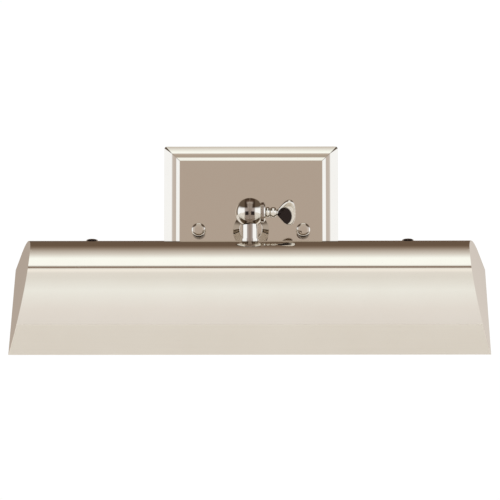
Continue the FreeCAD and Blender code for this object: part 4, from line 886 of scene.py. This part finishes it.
# ---------------------------------------------------------------------------------------------
# Setting: floor, light and camera
# ---------------------------------------------------------------------------------------------
FLOOR_Z = -3.0
FLOOR_HALF = 30.0
WHITE = (1.02, 1.02, 1.02)
FRONT_SIDES = (1.34, 1.42, 1.56)
DARK_SIDES = (0.30, 0.25, 0.21)
REAR_LEFT = (0.73, 0.63, 0.55)
REAR_RIGHT = (1.05, 0.98, 0.92)
UPPER_SIDES = (0.16, 0.12, 0.09)
MIDDLE_STRIPS = [  # degrees above the level line ahead, over the top and down behind
    (-180, (0.25, 0.19, 0.15)), (-150, (0.5, 0.46, 0.42)), (-60, (0.96, 0.96, 0.98)),
    (-20, (1.02, 1.01, 1.03)), (12, (1.11, 1.10, 1.12)), (34, (1.21, 1.26, 1.29)),
    (50, (1.07, 1.08, 1.08)), (56, (1.08, 1.08, 1.08)), (60, (1.30, 1.30, 1.30)),
    (62, (1.2, 1.2, 1.2)), (63, (0.34, 0.26, 0.21)), (65, (0.36, 0.28, 0.23)),
    (66.4, (1.42, 1.5, 1.55)), (77, (1.40, 1.5, 1.54)), (84, (0.94, 0.92, 0.90)),
    (92, (0.50, 0.43, 0.38)), (102, (0.30, 0.23, 0.18)), (112, (0.20, 0.14, 0.10)),
    (150, (0.17, 0.12, 0.085)), (180, (0.25, 0.19, 0.15))]


def studio_world():
    """Pale studio: white in front, beside and below, a bright strip overhead, dark above and behind."""
    world = bpy.data.worlds.new("studio")
    bpy.context.scene.world = world
    world.use_nodes = True
    world.node_tree.nodes.clear()
    tree = Tree(world.node_tree)
    ray = tree.node("ShaderNodeTexCoord", output="Generated")
    aside, depth, up = (tree.part(ray, axis) for axis in "XYZ")
    turn = tree.node("ShaderNodeMath", {"operation": "ARCTAN2"}, {0: up, 1: 0.0 - depth})
    stops = [(angle / 360 + 0.5, tint) for angle, tint in MIDDLE_STRIPS]
    strips = tree.node("ShaderNodeValToRGB", {"stops": stops}, {"Fac": turn / (2 * math.pi) + 0.5})
    rear = tree.blend(tree.window(aside, -0.4, 0.4), colour(*REAR_LEFT), colour(*REAR_RIGHT))
    sides = tree.blend(tree.window(depth, 0.25, 0.40), colour(*FRONT_SIDES), colour(*DARK_SIDES))
    sides = tree.blend(tree.window(depth, 0.62, 0.74), sides, rear)
    sides = tree.blend(tree.window(up, 0.35, 0.6), sides, colour(*UPPER_SIDES))
    room = tree.blend(tree.window(aside * aside, 0.03, 0.15), strips, sides)
    seen = tree.node("ShaderNodeLightPath", output="Is Camera Ray")
    shown = tree.blend(seen, room, colour(*WHITE))
    background = tree.node("ShaderNodeBackground", None, {"Color": shown, "Strength": 1.0})
    tree.node("ShaderNodeOutputWorld", None, {"Surface": background})


def studio_lamp():
    """Broad soft light from above and in front, for the shadows."""
    light = bpy.data.lights.new("key_softbox", "AREA")
    light.shape = "RECTANGLE"
    light.size = 1.6
    light.size_y = 1.0
    light.energy = 9.0  # watts
    softbox = bpy.data.objects.new("key_softbox", light)
    bpy.context.collection.objects.link(softbox)
    softbox.location = (0.3, -0.9, 1.5)
    towards = Vector((0, -0.1, 0)) - softbox.location
    softbox.rotation_euler = towards.to_track_quat("-Z", "Y").to_euler()
    softbox.visible_glossy = False


def floor():
    """Plain pale floor, well below the light."""
    finish = Finish("pale_floor")
    cloud = finish.noise(finish.at, 3.0, 3.0)
    tint = finish.blend(cloud, colour(0.86, 0.86, 0.85), colour(0.90, 0.90, 0.89))
    material = finish.surface(Base_Color=tint, Roughness=0.6 + 0.1 * cloud,
                              Emission_Color=tint, Emission_Strength=0.60)
    made = bmesh.new()
    bmesh.ops.create_grid(made, x_segments=8, y_segments=8, size=FLOOR_HALF,
                          matrix=Matrix.Translation((0.0, 0.0, FLOOR_Z)))
    mesh = bpy.data.meshes.new("studio_floor")
    made.to_mesh(mesh)
    made.free()
    mesh_piece("studio_floor", mesh, material)


def camera():
    """Long lens, a little below the light, looking up at it."""
    aim = Vector((0.0, -0.100, -0.0236))
    azimuth = math.radians(-0.46)
    rise = math.radians(7.45)
    distance = 2.2
    level = math.cos(rise)
    look = Vector((math.sin(azimuth) * level, math.cos(azimuth) * level, math.sin(rise)))
    lens = bpy.data.cameras.new("long_lens")
    lens.sensor_width = 36.0
    lens.lens = 245.9
    eye = bpy.data.objects.new("camera", lens)
    bpy.context.collection.objects.link(eye)
    eye.location = aim - look * distance
    eye.rotation_euler = look.to_track_quat("-Z", "Y").to_euler()
    bpy.context.scene.camera = eye
    bpy.context.scene.view_settings.view_transform = "Standard"


def refinish():
    """Give every CAD node its full finish; the end caps and the knuckle have their own, with painted
    reflections.
    """
    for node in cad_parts.values():
        for spot in node.material_slots:
            spot.material = FINISHES[spot.material.name]
    for node in ("end_cap_right", "end_cap_left"):
        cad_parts[node].material_slots[0].material = PAINTED_CAP_NICKEL
    for node in ("knuckle_arm_half", "knuckle_hood_half", "clamp_collar"):
        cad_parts[node].material_slots[0].material = PAINTED_KNUCKLE_NICKEL


camera()
refinish()
back_plate()
plate_boss()
cap_nuts()
arm_tube()
thumb_screw()
hood_shell()
bracket_screws()
filaments()
floor()
studio_world()
studio_lamp()
